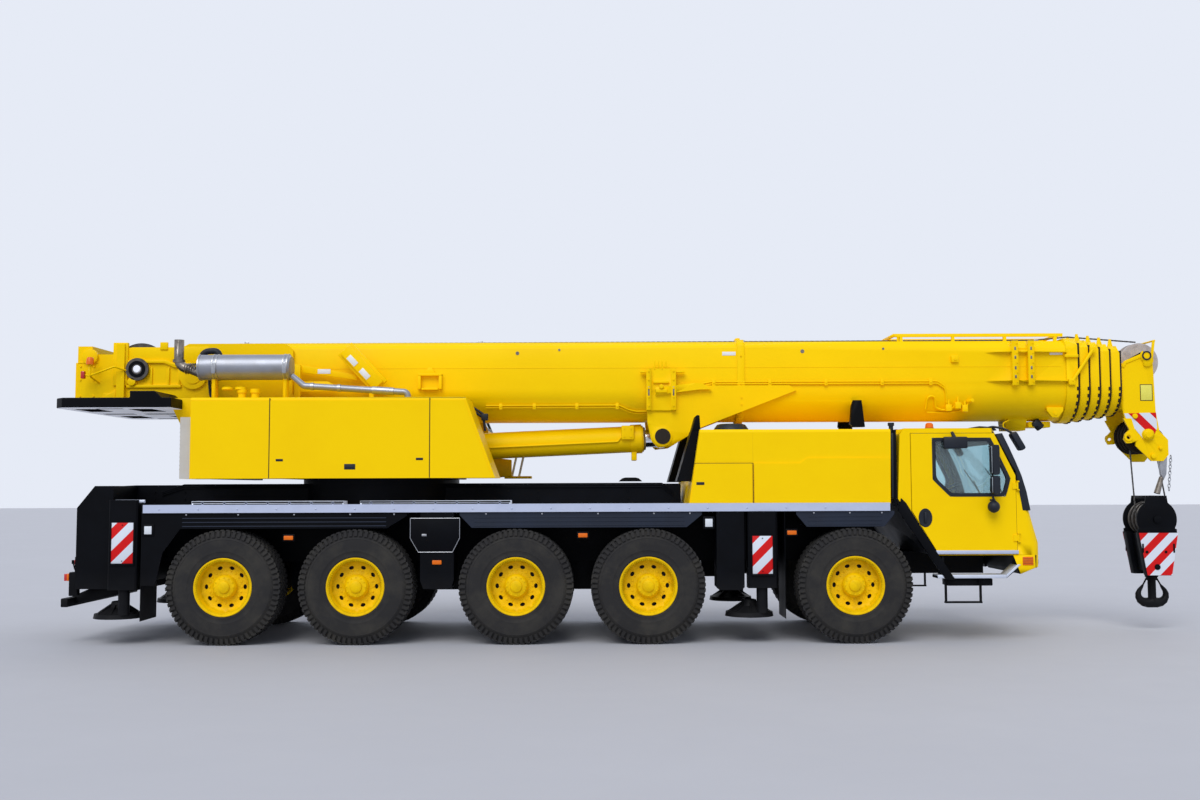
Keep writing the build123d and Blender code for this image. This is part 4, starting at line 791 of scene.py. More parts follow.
# ------------------------------------------------------------------------- carrier
@dataclass
class Wheel:
    """One wheel: a block-treaded tyre, and a yellow steel rim with its hub's cap."""

    number: int
    side: Side
    nodes: dict[str, bpy.types.Object]
    lugs: int = 64
    tread: float = 0.014
    bolts: int = 20
    holes: int = 10
    hole_ring: float = 0.243      # radius of the circle of hand holes
    hole_reach: float = 0.036     # a corner this near a hole's middle is on its edge
    seat: float = 0.367           # radius within which the wheel's solid is steel

    def __post_init__(self) -> None:
        """Take the wheel's place and size from its solid."""
        self.node = f"wheel_{self.number}_{self.side.label}"
        low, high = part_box(self.node)
        self.centre = (low + high) / 2
        self.radius = (high.z - low.z) / 2
        self.half = (high.y - low.y) / 2
        self.out = self.side.value

    def _lug(self, shape: Shape, inner: float, outer: float, turn: float, long: float) -> None:
        """Set one tread block between two distances from the middle plane."""
        deep = self.radius - self.tread * 1.4
        verts = bmesh.ops.create_cube(shape.mesh, size=1.0)["verts"]
        bmesh.ops.scale(shape.mesh, vec=(long, outer - inner, self.radius - deep), verts=verts)
        crown = [v for v in verts if v.co.z > 0]
        bmesh.ops.scale(shape.mesh, vec=(0.82, 0.94, 1.0), verts=crown)
        bmesh.ops.translate(shape.mesh, vec=(0, 0, -PROUD), verts=crown)
        middle = Vector((0, (inner + outer) / 2, (self.radius + deep) / 2))
        bmesh.ops.translate(shape.mesh, vec=middle, verts=verts)
        bmesh.ops.rotate(shape.mesh, cent=(0, 0, 0), verts=verts,
                         matrix=Matrix.Rotation(turn, 3, "Y"))
        bmesh.ops.translate(shape.mesh, vec=self.centre, verts=verts)

    def tyre(self) -> bpy.types.Object:
        """Make the carcass with its sidewall ribs, and cut the tread round it."""
        base, half = self.radius - self.tread, self.half
        wall = ((0.338, 0.82), (0.352, 0.90), (0.372, 0.925), (0.385, 0.955), (0.395, 0.94),
                (0.44, 0.975), (0.446, 0.99), (0.455, 0.985), (0.50, 0.995), (0.55, 1.0),
                (0.590, 0.985), (0.594, 0.998), (0.602, 0.985), (0.625, 0.90),
                (base - 0.012, 0.84), (base, 0.80), (base + 0.002, 0.40))
        outer = [(r, a * half) for r, a in wall]
        profile = [*outer, *((r, -a) for r, a in reversed(outer))]
        blocks = Shape()
        pitch = 2 * math.pi / self.lugs
        for hand in (-1, 1):
            rows = ((0.56, 0.93, 0.0, 0.050), (0.30, 0.53, 0.5, 0.056), (0.02, 0.27, 0.2, 0.056))
            for inner, outer_edge, phase, long in rows:
                ends = sorted((hand * inner * half, hand * outer_edge * half))
                self._lug(blocks, *ends, (phase + 0.25 * hand) * pitch, long)
        shoulder = Shape()
        for hand in (-1, 1):
            low, high = sorted((hand * 0.82 * half, hand * 0.985 * half))
            verts = bmesh.ops.create_cube(shoulder.mesh, size=1.0)["verts"]
            bmesh.ops.scale(shoulder.mesh, vec=(0.038, high - low, 0.074), verts=verts)
            edge = [v for v in verts if v.co.z > 0 and v.co.y * hand > 0]
            bmesh.ops.translate(shoulder.mesh, vec=(0, -hand * 0.016, 0), verts=edge)
            bmesh.ops.translate(shoulder.mesh, verts=verts,
                                vec=self.centre + Vector((0, (low + high) / 2, base - 0.034)))
        blocks.ringed(self.lugs, self.centre)
        shoulder.ringed(self.lugs, self.centre)
        body = Shape().turned(profile, self.centre, steps=96, closed=True)
        body.joined(blocks).joined(shoulder)
        return body.piece(f"tyre_{self.number}_{self.side.label}", self.node, RUBBER, crease=28.0)

    def _hand_hole(self, at: Vector) -> tuple[float, float, float] | None:
        """Draw a point on the edge of a hand hole out into the hole's oval."""
        x, z = at.x - self.centre.x, at.z - self.centre.z
        reach, step = math.hypot(x, z), 2 * math.pi / self.holes
        turn = (round(math.atan2(x, z) / step - 0.5) + 0.5) * step
        along = reach * math.sin(math.atan2(x, z) - turn)
        across = reach * math.cos(math.atan2(x, z) - turn) - self.hole_ring
        if math.hypot(along, across) > self.hole_reach:
            return None
        along, across = along * 1.22, across * 0.88
        reach = self.hole_ring + across
        return (self.centre.x + reach * math.sin(turn) + along * math.cos(turn), at.y,
                self.centre.z + reach * math.cos(turn) - along * math.sin(turn))

    def drum(self) -> bpy.types.Object:
        """Set the dark brake drum behind the disc, where it shows through the hand holes."""
        near, far = self.out * 0.02, -self.out * 0.10
        ring = [(0.19, near), (0.272, near), (0.272, far), (0.19, far)]
        shape = Shape().turned(ring, self.centre, steps=48, closed=True)
        return shape.piece(f"drum_{self.number}_{self.side.label}",
                           f"knuckle_{self.number}_{self.side.label}", SOOT_AND_SHADE)

    def rim(self) -> bpy.types.Object:
        """Take the steel rim from the wheel's solid, without its tyre."""
        copy = SolidCopy(self.nodes[self.node])
        copy.keep(lambda at: math.hypot(at.x - self.centre.x, at.z - self.centre.z) < self.seat)
        copy.moved(self._hand_hole)
        return copy.piece(f"rim_{self.number}_{self.side.label}", self.node, RIM_YELLOW)

    def hub(self) -> bpy.types.Object:
        """Add the nuts, the hub's cap, the rim's lock ring and the valve."""
        shape, face = Shape(), self.centre.y + self.out * 0.045
        for radius, count, size, tall in ((0.205, self.bolts, 0.014, 0.03),
                                          (0.118, 12, 0.010, 0.115)):
            for number in range(count):
                angle = 2 * math.pi * number / count
                x = self.centre.x + radius * math.sin(angle)
                z = self.centre.z + radius * math.cos(angle)
                shape.rod((x, face, z), (x, face + self.out * tall, z), size, sides=6, bevel=0.002)
        end = self.centre + Vector((0, self.out * 0.15, 0))
        cap = [(0.0, 0.0), (0.0, 0.034), (0.060, 0.034), (0.072, 0.026), (0.078, 0.008),
               (0.115, 0.004), (0.13, -0.006)]
        shape.turned([(r, self.out * a) for r, a in cap], end, steps=40)
        lip = [(0.338, 0.196), (0.346, 0.210), (0.358, 0.212), (0.365, 0.204), (0.362, 0.190),
               (0.345, 0.186)]
        shape.turned([(r, self.out * a) for r, a in lip], self.centre, steps=64, closed=True)
        shape.rod(self.centre + Vector((0.255, self.out * 0.06, 0.05)),
                  self.centre + Vector((0.275, self.out * 0.15, 0.055)), 0.006)
        return shape.piece(f"hub_{self.number}_{self.side.label}", self.node, RIM_YELLOW)

    def build(self) -> None:
        """Make tyre, rim and hub in place of the wheel's solid."""
        for made in (self.tyre(), self.rim(), self.hub()):
            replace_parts(made, self.node)
        self.drum()


@dataclass
class Chassis:
    """Frame, deck, wings and outriggers of the carrier."""

    nodes: dict[str, bpy.types.Object]
    rivet_pitch: float = 0.49
    sheet: float = 0.012          # the skirts' sheet lies this far inside the wings' edge
    close_axles: float = 1.2      # longest gap between tyres that holds a reservoir
    plank_z: float = 1.7455       # the deck is ribbed plank above this
    skirt_z: float = 1.40         # the wings are black lockers below this
    locker_y: float = 1.405       # and outside this
    lamp_y: float = -1.402        # seats of the lamps on the right-hand side
    ladder_y: float = -1.356      # outside of the right-hand ladder
    body: str = "carrier"

    @property
    def wing_edge(self) -> float:
        """Outermost place of the right-hand wings across the crane."""
        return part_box("mudguards")[0].y

    def _outriggers(self) -> Iterable[tuple[str, Side, str]]:
        """Go through the outriggers: the end, the side and the solid of each."""
        for end, side in product(("front", "rear"), Side):
            yield end, side, f"outrigger_{end}_{side.label}"

    def dress_solids(self) -> None:
        """Paint the solids that stay as they are."""
        dress(self.nodes, BLACK, "chassis_frame", "axle_beams", "suspension",
              *(f"knuckle_{n}_{s.label}" for n in range(1, 6) for s in Side),
              *(f"outrigger_{e}_{s.label}" for e in ("front", "rear") for s in Side))
        deck = SolidCopy(self.nodes["carrier_deck"])
        deck.painted(1, lambda at, normal: at.z > self.plank_z)
        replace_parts(deck.piece("deck_planks", self.body, ALUMINIUM, LADDER), "carrier_deck")
        dress(self.nodes, CASTING, "carrier_engine")

    def wings(self) -> None:
        """Round the wing sheets and part blue-grey skirts from black lockers."""
        copy = SolidCopy(self.nodes["mudguards"]).rounded(0.006)
        copy.painted(1, lambda at, normal: at.z < self.skirt_z or abs(at.y) > self.locker_y)
        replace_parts(copy.piece("wing_sheets", self.body, WING, BLACK), "mudguards")

    def rivets(self) -> None:
        """Set dome rivets along both edge rails, and screws in the skirts."""
        low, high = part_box("carrier_deck")
        y, z = low.y, low.z + 0.045
        count = int((high.x - low.x - 0.3) / self.rivet_pitch)
        first = Shape().ball((low.x + 0.2, y, z), 0.011)
        first.repeated(count, (self.rivet_pitch, 0, 0)).mirrored()
        first.piece("rail_rivets", self.body, ALUMINIUM)
        skirt = self.wing_edge + self.sheet
        along = (-5.55, -4.9, -4.2, -3.5, -2.95, -1.8, -1.1, -0.4, 0.3, 0.75, 2.3, 2.75, 3.15)
        screws = Shape().heads(product(along, (1.62,)), skirt - 0.002, skirt - 0.008, 0.010, 12)
        screws.mirrored().piece("skirt_screws", self.body, ZINC)

    def ribs(self) -> None:
        """Fold three long swages into each stretch of the skirts."""
        y = self.wing_edge + self.sheet
        swages = Shape()
        for rear, front in ((-5.60, -3.05), (-1.95, 0.68), (2.23, 3.15)):
            for z in (1.475, 1.525, 1.575):
                swages.box((rear, y - 0.005, z - 0.006), (front, y + 0.002, z + 0.006), 0.003)
        swages.mirrored().piece("skirt_swages", self.body, WING)

    def ladder_rungs(self) -> None:
        """Show the open rung tubes in the side of both stowed ladders, their black mouths painted
        shade.
        """
        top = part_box("carrier_deck")[1].z
        ends, hollow_shade, stiles, y = Shape(), Shape(), Shape(), self.ladder_y
        for rear, front in ((-5.5, -3.59), (-3.385, -1.496)):
            stiles.box((rear, y, 1.758), (front, y + 0.022, top - 0.001), 0.003)
            for number in range(7):
                x = rear + (number + 0.5) * (front - rear) / 7
                ends.turned([(0.016, -0.004), (0.016, 0.0), (0.011, 0.0), (0.011, -0.004)],
                            (x, y, top - 0.026), steps=16, closed=True)
                # Black disc in each rung's mouth: painted shade inside the tube.
                hollow_shade.rod((x, y + 0.001, top - 0.026), (x, y - 0.0015, top - 0.026), 0.0112,
                           sides=16)
            # Black strip under each ladder: a painted shadow line between it and the deck rail.
            hollow_shade.box((rear + 0.02, y - 0.0008, 1.742), (front - 0.02, y + 0.02, 1.757), 0.0)
        stiles.mirrored().piece("ladder_stiles", self.body, LADDER)
        ends.mirrored().piece("rung_ends", self.body, ALUMINIUM)
        hollow_shade.mirrored().piece("rung_mouths", self.body, BLACK)

    def reservoirs(self) -> None:
        """Hang the air reservoirs and their shields under the frame, between the axles."""
        tanks = Shape()
        spans = [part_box(f"wheel_{number}_right") for number in range(1, 6)]
        for (front, _), (_, rear) in zip(spans, spans[1:]):
            start, end = rear.x - 0.12, front.x + 0.12
            if end - start > self.close_axles:
                continue
            tanks.box((start, -0.40, 0.60), (end, 0.40, 1.16), 0.05)
        tanks.piece("air_reservoirs", self.body, BLACK)

    def lamps(self) -> None:
        """Fit side markers, white square lamps and the tail lamps."""
        amber, seats, white, red = Shape(), Shape(), Shape(), Shape()
        y = self.lamp_y
        for x, z in ((-4.264, 1.33), (-2.41, 1.02), (-0.59, 1.35), (2.02, 1.375)):
            seats.box((x - 0.075, y + 0.05, z - 0.045), (x + 0.075, y - 0.006, z + 0.045), 0.006)
            amber.box((x - 0.058, y - 0.004, z - 0.026), (x + 0.058, y - 0.026, z + 0.026), 0.007)
        for x, z in ((-6.02, 1.43), (0.985, 1.50)):
            seats.box((x - 0.072, y + 0.03, z - 0.078), (x + 0.072, y - 0.010, z + 0.078), 0.006)
            white.box((x - 0.046, y - 0.006, z - 0.050), (x + 0.046, y - 0.022, z + 0.050), 0.006)
        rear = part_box("chassis_frame")[0].x
        for z in (0.86, 1.02):
            seats.box((rear - 0.05, -1.16, z - 0.07), (rear + 0.02, -0.80, z + 0.07), 0.008)
            for number, y_lamp in enumerate((-1.09, -0.98, -0.87)):
                lens = red if number != 1 else amber
                lens.rod((rear - 0.048, y_lamp, z), (rear - 0.068, y_lamp, z), 0.046, 0.040)
        seats.mirrored().piece("lamp_seats", self.body, BLACK)
        amber.mirrored().piece("amber_lamps", self.body, AMBER)
        white.mirrored().piece("white_lamps", self.body, WHITE_LENS)
        red.mirrored().piece("tail_lamps", self.body, RED_LENS)

    def hazard_plates(self) -> None:
        """Hang striped plates on the jack casings, where they ride with the beams."""
        sizes = {"front": (0.867, 1.336, 0.25, STRIPES), "rear": (1.02, 1.525, 0.27, REAR_STRIPES)}
        for end, side, node in self._outriggers():
            low_z, high_z, width, sheet = sizes[end]
            low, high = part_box(node)
            outer = low.y if side is Side.RIGHT else high.y
            middle, out = high.x - 0.18, side.value
            plate = Shape().box((middle - width / 2, outer, low_z),
                                (middle + width / 2, outer + out * 0.005, high_z), 0.001)
            plate.piece(f"striped_plate_{end}_{side.label}", node, sheet)
            trim = Shape()
            trim.box((middle - width / 2 - 0.02, outer, low_z - 0.025),
                     (middle + width / 2 + 0.02, outer + out * 0.022, low_z), 0.003)
            for x in (middle - width / 2 - 0.012, middle + width / 2 + 0.012):
                trim.box((x - 0.010, outer, low_z), (x + 0.010, outer + out * 0.012, high_z),
                         0.002)
            trim.heads(((middle, low_z + 0.03), (middle, high_z - 0.03)), outer,
                       outer + out * 0.009, 0.008)
            trim.piece(f"plate_frame_{end}_{side.label}", node, BLACK)

    def pads(self) -> None:
        """Give each outrigger's pad a dish round the jack's foot, with eight ribs."""
        for end, side, node in self._outriggers():
            low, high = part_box(node)
            x, y = low.x + 0.305, (low.y + 0.31 if side is Side.RIGHT else high.y - 0.31)
            foot = Shape()
            foot.turned([(0.055, 0.21), (0.085, 0.205), (0.12, 0.13), (0.26, 0.062),
                         (0.29, 0.050)], (x, y, low.z), Axis.Z, steps=40)
            ribs = Shape().prism([(0.09, 0.17), (0.11, 0.17), (0.27, 0.062), (0.09, 0.055)],
                                 -0.006, 0.006)
            ribs.ringed(8, (0, 0, 0), Axis.Z)
            bmesh.ops.translate(ribs.mesh, vec=(x, y, low.z), verts=ribs.mesh.verts)
            ribs.piece(f"pad_ribs_{end}_{side.label}", node, BLACK)
            foot.piece(f"pad_dish_{end}_{side.label}", node, BLACK)

    def frame_fittings(self) -> None:
        """Bolt the frame's plates, run brake pipes along it and cast its lug."""
        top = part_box("chassis_frame")[1].z
        bolts = Shape().heads(product((-6.3, -5.9, -2.0, -1.6, -1.2, 0.0), (1.80, 1.90)),
                              -0.42, -0.437, 0.014)
        bolts.mirrored().piece("frame_bolts", self.body, BLACK)
        pipes = Shape()
        for number in range(3):
            z = 1.955 + 0.022 * number
            pipes.pipe([(-6.2, -0.44, z - 0.1), (-5.9, -0.44, z), (0.45, -0.44, z),
                        (0.6, -0.44, z - 0.12)], 0.008)
        pipes.piece("frame_pipes", self.body, BLACK)
        lug = Shape().prism([(-0.12, top - 0.02), (-0.07, 2.070), (-0.03, 2.080), (0.11, 2.080),
                             (0.15, 2.070), (0.20, top - 0.02)], -0.16, 0.16, bevel=0.006)
        lug.piece("frame_lugs", self.body, BLACK)

    def locker_doors(self) -> None:
        """Hang the tapered locker doors with their bright edge trim and latch."""
        y = self.wing_edge
        outline = [(-2.744, 1.568), (-2.128, 1.568), (-2.128, 1.320), (-2.216, 1.147),
                   (-2.643, 1.147), (-2.744, 1.320)]
        door = Shape().prism(outline, y - 0.006, y + 0.03, bevel=0.004)
        door.mirrored().piece("locker_doors", self.body, BLACK)
        trim = Shape()
        for start, end in zip(outline, outline[1:] + outline[:1]):
            trim.rod((start[0], y - 0.007, start[1]), (end[0], y - 0.007, end[1]), 0.0045, sides=8)
        trim.box((-2.60, y - 0.014, 1.345), (-2.54, y - 0.004, 1.372), 0.004)
        trim.mirrored().piece("locker_trim", self.body, ZINC)

    def rear_end(self) -> None:
        """Fit the underrun bar with its lights, and the stowed handrail."""
        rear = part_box("chassis_frame")[0].x
        bar, lamps, amber = Shape(), Shape(), Shape()
        bar.box((rear - 0.20, -1.20, 0.46), (rear - 0.11, 1.20, 0.57), 0.012)
        for y in (-0.9, -0.35, 0.35, 0.9):
            bar.prism([(rear - 0.19, 0.47), (rear - 0.19, 0.565), (rear + 0.12, 0.70),
                       (rear + 0.45, 0.70), (rear + 0.45, 0.60)], y - 0.03, y + 0.03, bevel=0.005)
        for y in (-1.16, 1.16):
            bar.box((rear - 0.10, y - 0.05, 0.60), (rear + 0.01, y + 0.05, 0.90), 0.012)
            bar.pipe([(rear - 0.02, y, 0.88), (rear - 0.05, y, 0.95), (rear - 0.07, y, 1.03)],
                     0.009)
            bar.box((rear - 0.085, y - 0.012, 1.0), (rear - 0.055, y + 0.012, 1.05), 0.006)
            amber.box((rear - 0.125, y - 0.052, 0.79), (rear - 0.098, y + 0.052, 0.88), 0.006)
            lamps.box((rear - 0.160, y - 0.050, 0.79), (rear - 0.124, y + 0.050, 0.88), 0.008)
        bar.piece("underrun_bar", self.body, BLACK)
        amber.piece("rear_markers", self.body, AMBER)
        lamps.piece("rear_position_lamps", self.body, RED_LENS)
        rail = Shape()
        rail.rod((-6.45, -1.37, 1.79), (-6.08, -1.37, 1.79), 0.021, bevel=0.004)
        rail.mirrored().piece("stowed_handrail", self.body, LADDER)
        posts = Shape()
        for x in (-6.42, -6.11):
            posts.box((x - 0.012, -1.385, 1.63), (x + 0.012, -1.345, 1.78), 0.003)
        posts.mirrored().piece("handrail_posts", self.body, BLACK)

    def build(self) -> None:
        """Dress and fit out the carrier below its deck."""
        self.dress_solids()
        self.wings()
        self.ribs()
        self.rivets()
        self.ladder_rungs()
        self.reservoirs()
        self.lamps()
        self.hazard_plates()
        self.pads()
        self.frame_fittings()
        self.locker_doors()
        self.rear_end()


@dataclass
class EngineHood:
    """Hood over the carrier's engine, behind the driver's cab."""

    nodes: dict[str, bpy.types.Object]
    body: str = "carrier"

    def build(self) -> None:
        """Round the hood's sheet and fit its handles, cap and black parts."""
        low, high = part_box("carrier_hood")
        copy = SolidCopy(self.nodes["carrier_hood"]).rounded(0.010)
        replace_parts(copy.piece("hood_shell", self.body, YELLOW), "carrier_hood")
        dress(self.nodes, BLACK, "cooler_outlets")
        self._seams(low)
        cap = Shape()
        cap.turned([(0.0, 0.105), (0.15, 0.105), (0.185, 0.095), (0.205, 0.070), (0.238, 0.022),
                    (0.238, 0.0), (0.20, 0.0)], (1.36, -0.60, high.z + 0.0006), Axis.Z, steps=48)
        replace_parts(cap.piece("rain_cap", self.body, PLASTIC), "intake_cap")
        prongs = Shape()
        for side in Side:
            prongs.prism([(0.795, high.z - 0.012), (0.850, 2.850), (0.868, 2.862), (0.896, 2.856),
                          (0.905, high.z + 0.002), (0.886, high.z - 0.012)],
                         *sorted((side.value * 0.86, side.value * 1.23)), bevel=0.005)
        prongs.piece("outlet_tips", self.body, BLACK)
        x, z = 0.885, 1.99
        pulls = Shape().box((x - 0.05, low.y + 0.004, z - 0.018),
                            (x + 0.05, low.y - 0.003, z + 0.018), 0.005)
        pulls.mirrored().piece("hood_pulls", self.body, PLASTIC)
        seal = Shape()
        seal.box((high.x + 0.006, -1.36, 1.80), (high.x + 0.075, 1.36, 2.62), 0.01)
        seal.piece("cab_bellows", self.body, PLASTIC)
        stack = Shape()
        stack.rod((3.31, -1.30, 2.60), (3.31, -1.30, 2.735), 0.028)
        stack.rod((3.31, -1.30, 2.71), (3.31, -1.30, 2.75), 0.040)
        stack.piece("breather", self.body, PLASTIC)

    def _seams(self, low: Vector) -> None:
        """Draw the gaps round the door panels as thin dark inlays, painted shade, and the upper fold
        as a darker yellow strip, its painted shade.
        """
        dark, soft, y = Shape(), Shape(), low.y
        # Dark inlays: painted shade in the panel gaps.
        dark.box((1.5455, y - 0.0006, 1.74), (1.5525, y + 0.004, 2.245), 0.0)
        dark.box((0.808, y - 0.0006, 2.2405), (1.549, y + 0.004, 2.2465), 0.0)
        # Darker yellow strip: painted shade of the shallow fold.
        soft.box((1.5465, -1.3806, 2.25), (1.5515, -1.377, 2.63), 0.0)
        dark.mirrored().piece("hood_gaps", self.body, SOOT_AND_SHADE)
        soft.mirrored().piece("hood_fold", self.body, RIM_YELLOW)


@dataclass
class DriverCab:
    """Driver's cab: shell, doors, glass, mirrors, steps and bumper."""

    nodes: dict[str, bpy.types.Object]
    body: str = "carrier"
    door_y: float = 1.383         # outside of both doors
    mirror_x: tuple[float, float] = (4.4, 4.7)     # the mirrors' arms are between these
    corner_y: float = 1.20        # the front is bowed back from here outwards
    corner_x: float = 4.90        # and from here forwards
    corner_deep: float = 0.075    # by this much at most
    door_window: tuple[tuple[float, float], ...] = (
        (3.800, 2.555), (4.540, 2.555), (4.780, 2.040), (4.715, 1.815), (4.015, 1.815),
        (3.800, 2.030))

    def _ring(self, outline: Sequence[tuple[float, float]], inset: float, low: float,
              high: float, name: str, body: str, finish: Finish) -> None:
        """Make a flat frame of even width round an outline, between two places across."""
        shape = Shape()
        verts = [shape.mesh.verts.new((x, low, z)) for x, z in outline]
        shape.mesh.faces.new(verts)
        bmesh.ops.bevel(shape.mesh, geom=verts, offset=0.06, segments=4, profile=0.5,
                        affect="VERTICES", material=-1)
        bmesh.ops.inset_individual(shape.mesh, faces=shape.mesh.faces[:], thickness=inset,
                                   use_even_offset=True)
        inner = max(shape.mesh.faces, key=lambda f: len(f.verts))
        bmesh.ops.delete(shape.mesh, geom=[inner], context="FACES")
        made = bmesh.ops.extrude_face_region(shape.mesh, geom=shape.mesh.faces[:])
        bmesh.ops.translate(shape.mesh, vec=(0, high - low, 0),
                            verts=[v for v in made["geom"] if isinstance(v, BMVert)])
        shape.piece(name, body, finish)

    def _tucked(self, at: Vector) -> Point | None:
        """Draw the cab's front corners back, as its front is bowed in plan."""
        beyond, ahead = abs(at.y) - self.corner_y, at.x - self.corner_x
        if beyond <= 0 or at.x < self.corner_x:
            return None
        depth = self.corner_deep * min(1.0, beyond / 0.18) ** 2 * min(1.0, max(0.0, ahead / 0.2))
        return (at.x - depth, at.y, at.z)

    def _bowed(self, copy: SolidCopy) -> SolidCopy:
        """Bow the front of a solid's copy in plan, cut where it bends."""
        return copy.sliced(Axis.Y, -1.30, -1.22, 1.22, 1.30).moved(self._tucked)

    def shell(self) -> None:
        """Round the cab's shell and paint its inside grey."""
        inside = abs(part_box("driver_cab")[0].y) - 0.035

        def hidden(at: Vector, normal: Vector) -> bool:
            """Whether a face looks into the cab."""
            return (abs(at.y) < inside and 1.10 < at.z < 2.64 and 3.42 < at.x < 5.08
                    and not (at.x > 4.6 and normal.x > 0.3))

        copy = SolidCopy(self.nodes["driver_cab"])
        self._bowed(copy.painted(1, hidden))
        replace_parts(copy.piece("cab_shell", self.body, YELLOW, PLASTIC), "driver_cab")
        dress(self.nodes, CLOTH, "cab_interior")

    def doors(self) -> None:
        """Finish both doors with glass, gasket, handle and black mirrors."""
        for side in Side:
            node, out = f"cab_door_{side.label}", side.value
            skin = out * self.door_y
            copy = SolidCopy(self.nodes[node]).rounded(0.006)
            copy.painted(1, lambda at, normal: abs(at.y) > self.door_y + 0.004
                         and self.mirror_x[0] < at.x < self.mirror_x[1])
            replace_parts(copy.piece(f"door_skin_{side.label}", node, YELLOW, PLASTIC), node)
            self._ring(self.door_window, 0.045, *sorted((skin - out * 0.046, skin + out * 0.004)),
                       f"door_gasket_{side.label}", node, PLASTIC)
            pane = Shape().prism(self.door_window, *sorted((skin - out * 0.020,
                                                            skin - out * 0.014)))
            pane.piece(f"door_glass_{side.label}", node, GLASS)
            handle = Shape()
            handle.turned([(0.0, 0.003), (0.062, 0.003), (0.074, 0.006), (0.084, 0.005),
                           (0.089, -0.004)], (0, 0, 0), steps=40)
            bmesh.ops.scale(handle.mesh, vec=(1.0, out, 1.36), verts=handle.mesh.verts)
            bmesh.ops.translate(handle.mesh, vec=(3.700, skin, 1.552), verts=handle.mesh.verts)
            handle.box((3.684, skin, 1.490), (3.716, skin + out * 0.026, 1.625), 0.012)
            handle.piece(f"door_handle_{side.label}", node, PLASTIC)
            strip = Shape().box((3.80, skin, 1.100), (4.855, skin + out * 0.008, 1.146), 0.002)
            strip.piece(f"door_strip_{side.label}", node, ALUMINIUM)
            self._mirrors(node, side)

    def _mirrors(self, node: str, side: Side) -> None:
        """Fit rounded housings over the mirrors' arms, with glass that faces back."""
        out, y = side.value, side.value * self.door_y
        cases, glass = Shape(), Shape()
        for low_z, high_z in ((2.085, 2.46), (1.845, 2.075)):
            cases.box((4.492, y + out * 0.050, low_z), (4.598, y + out * 0.198, high_z), 0.045)
            glass.box((4.4925, y + out * 0.072, low_z + 0.02),
                      (4.498, y + out * 0.182, high_z - 0.02), 0.002)
        cases.pipe([(4.525, y, 2.442), (4.525, y + out * 0.09, 2.442),
                    (4.525, y + out * 0.09, 1.80), (4.555, y + out * 0.10, 1.74),
                    (4.525, y + out * 0.108, 1.66)], 0.013)
        cases.ball((4.525, y + out * 0.108, 1.665), 0.048, 1.1)
        cases.piece(f"mirror_cases_{side.label}", node, PLASTIC)
        glass.piece(f"mirror_glass_{side.label}", node, MIRROR)

    def windows(self) -> None:
        """Set windscreen and rear window into their frames."""
        curve = [(4.690, 2.612), (4.775, 2.430), (4.851, 2.255), (4.922, 2.077), (4.980, 1.870),
                 (5.022, 1.640)]
        inner = [(x - 0.012, z - 0.004) for x, z in reversed(curve)]
        screen = Shape().prism(curve + inner, -1.265, 1.265)
        screen.box((3.415, -0.80, 2.05), (3.421, 0.80, 2.45), 0.001)
        screen.piece("windscreen", self.body, GLASS)
        edge = [*curve, (4.922, 1.640), (4.884, 1.896), (4.851, 2.128), (4.781, 2.242),
                (4.606, 2.598)]
        pillar = Shape().prism(edge, -1.379, -1.265, bevel=0.006)
        pillar.mirrored()
        pillar.prism([(4.62, 2.590), (4.690, 2.612), (4.745, 2.496), (4.733, 2.490)], -1.27, 1.27)
        pillar.prism([(4.940, 1.66), (5.022, 1.64), (5.005, 1.735), (4.992, 1.732)], -1.27, 1.27)
        pillar.piece("screen_pillars", self.body, PLASTIC)
        visor = Shape().prism([(4.47, 2.668), (4.47, 2.712), (4.66, 2.70), (4.70, 2.655)],
                              -1.15, 1.15, bevel=0.008)
        visor.piece("sun_visor", self.body, PLASTIC)
        wipers = Shape()
        for y in (-0.55, 0.45):
            wipers.rod((5.026, y, 1.70), (4.962, y + 0.30, 2.02), 0.009)
            wipers.rod((5.012, y + 0.04, 1.78), (4.905, y + 0.56, 2.19), 0.007)
        wipers.piece("wipers", self.body, PLASTIC)

    def roof(self) -> None:
        """Put the beacons on the roof, and hang the front mirrors from their arms."""
        base, lens, arm = Shape(), Shape(), Shape()
        base.rod((3.90, -0.9, 2.672), (3.90, -0.9, 2.70), 0.06)
        lens.turned([(0.0, 0.07), (0.03, 0.067), (0.048, 0.05), (0.054, 0.0)], (3.90, -0.9, 2.70),
                    Axis.Z, steps=24)
        arm.pipe([(4.50, -1.20, 2.672), (4.62, -1.22, 2.700), (4.74, -1.27, 2.675),
                  (4.86, -1.32, 2.600)], 0.014, 0.10)
        arm.box((4.850, -1.40, 2.385), (4.935, -1.25, 2.635), 0.040,
                Matrix.Rotation(-0.52, 3, "Y"))
        arm.box((3.935, -1.45, 2.420), (4.235, -1.398, 2.565), 0.025)
        arm.rod((4.06, -1.37, 2.62), (4.08, -1.42, 2.55), 0.022)
        base.mirrored().piece("beacon_base", self.body, PLASTIC)
        lens.mirrored().piece("beacon", self.body, AMBER)
        arm.mirrored().piece("roof_mirrors", self.body, PLASTIC)

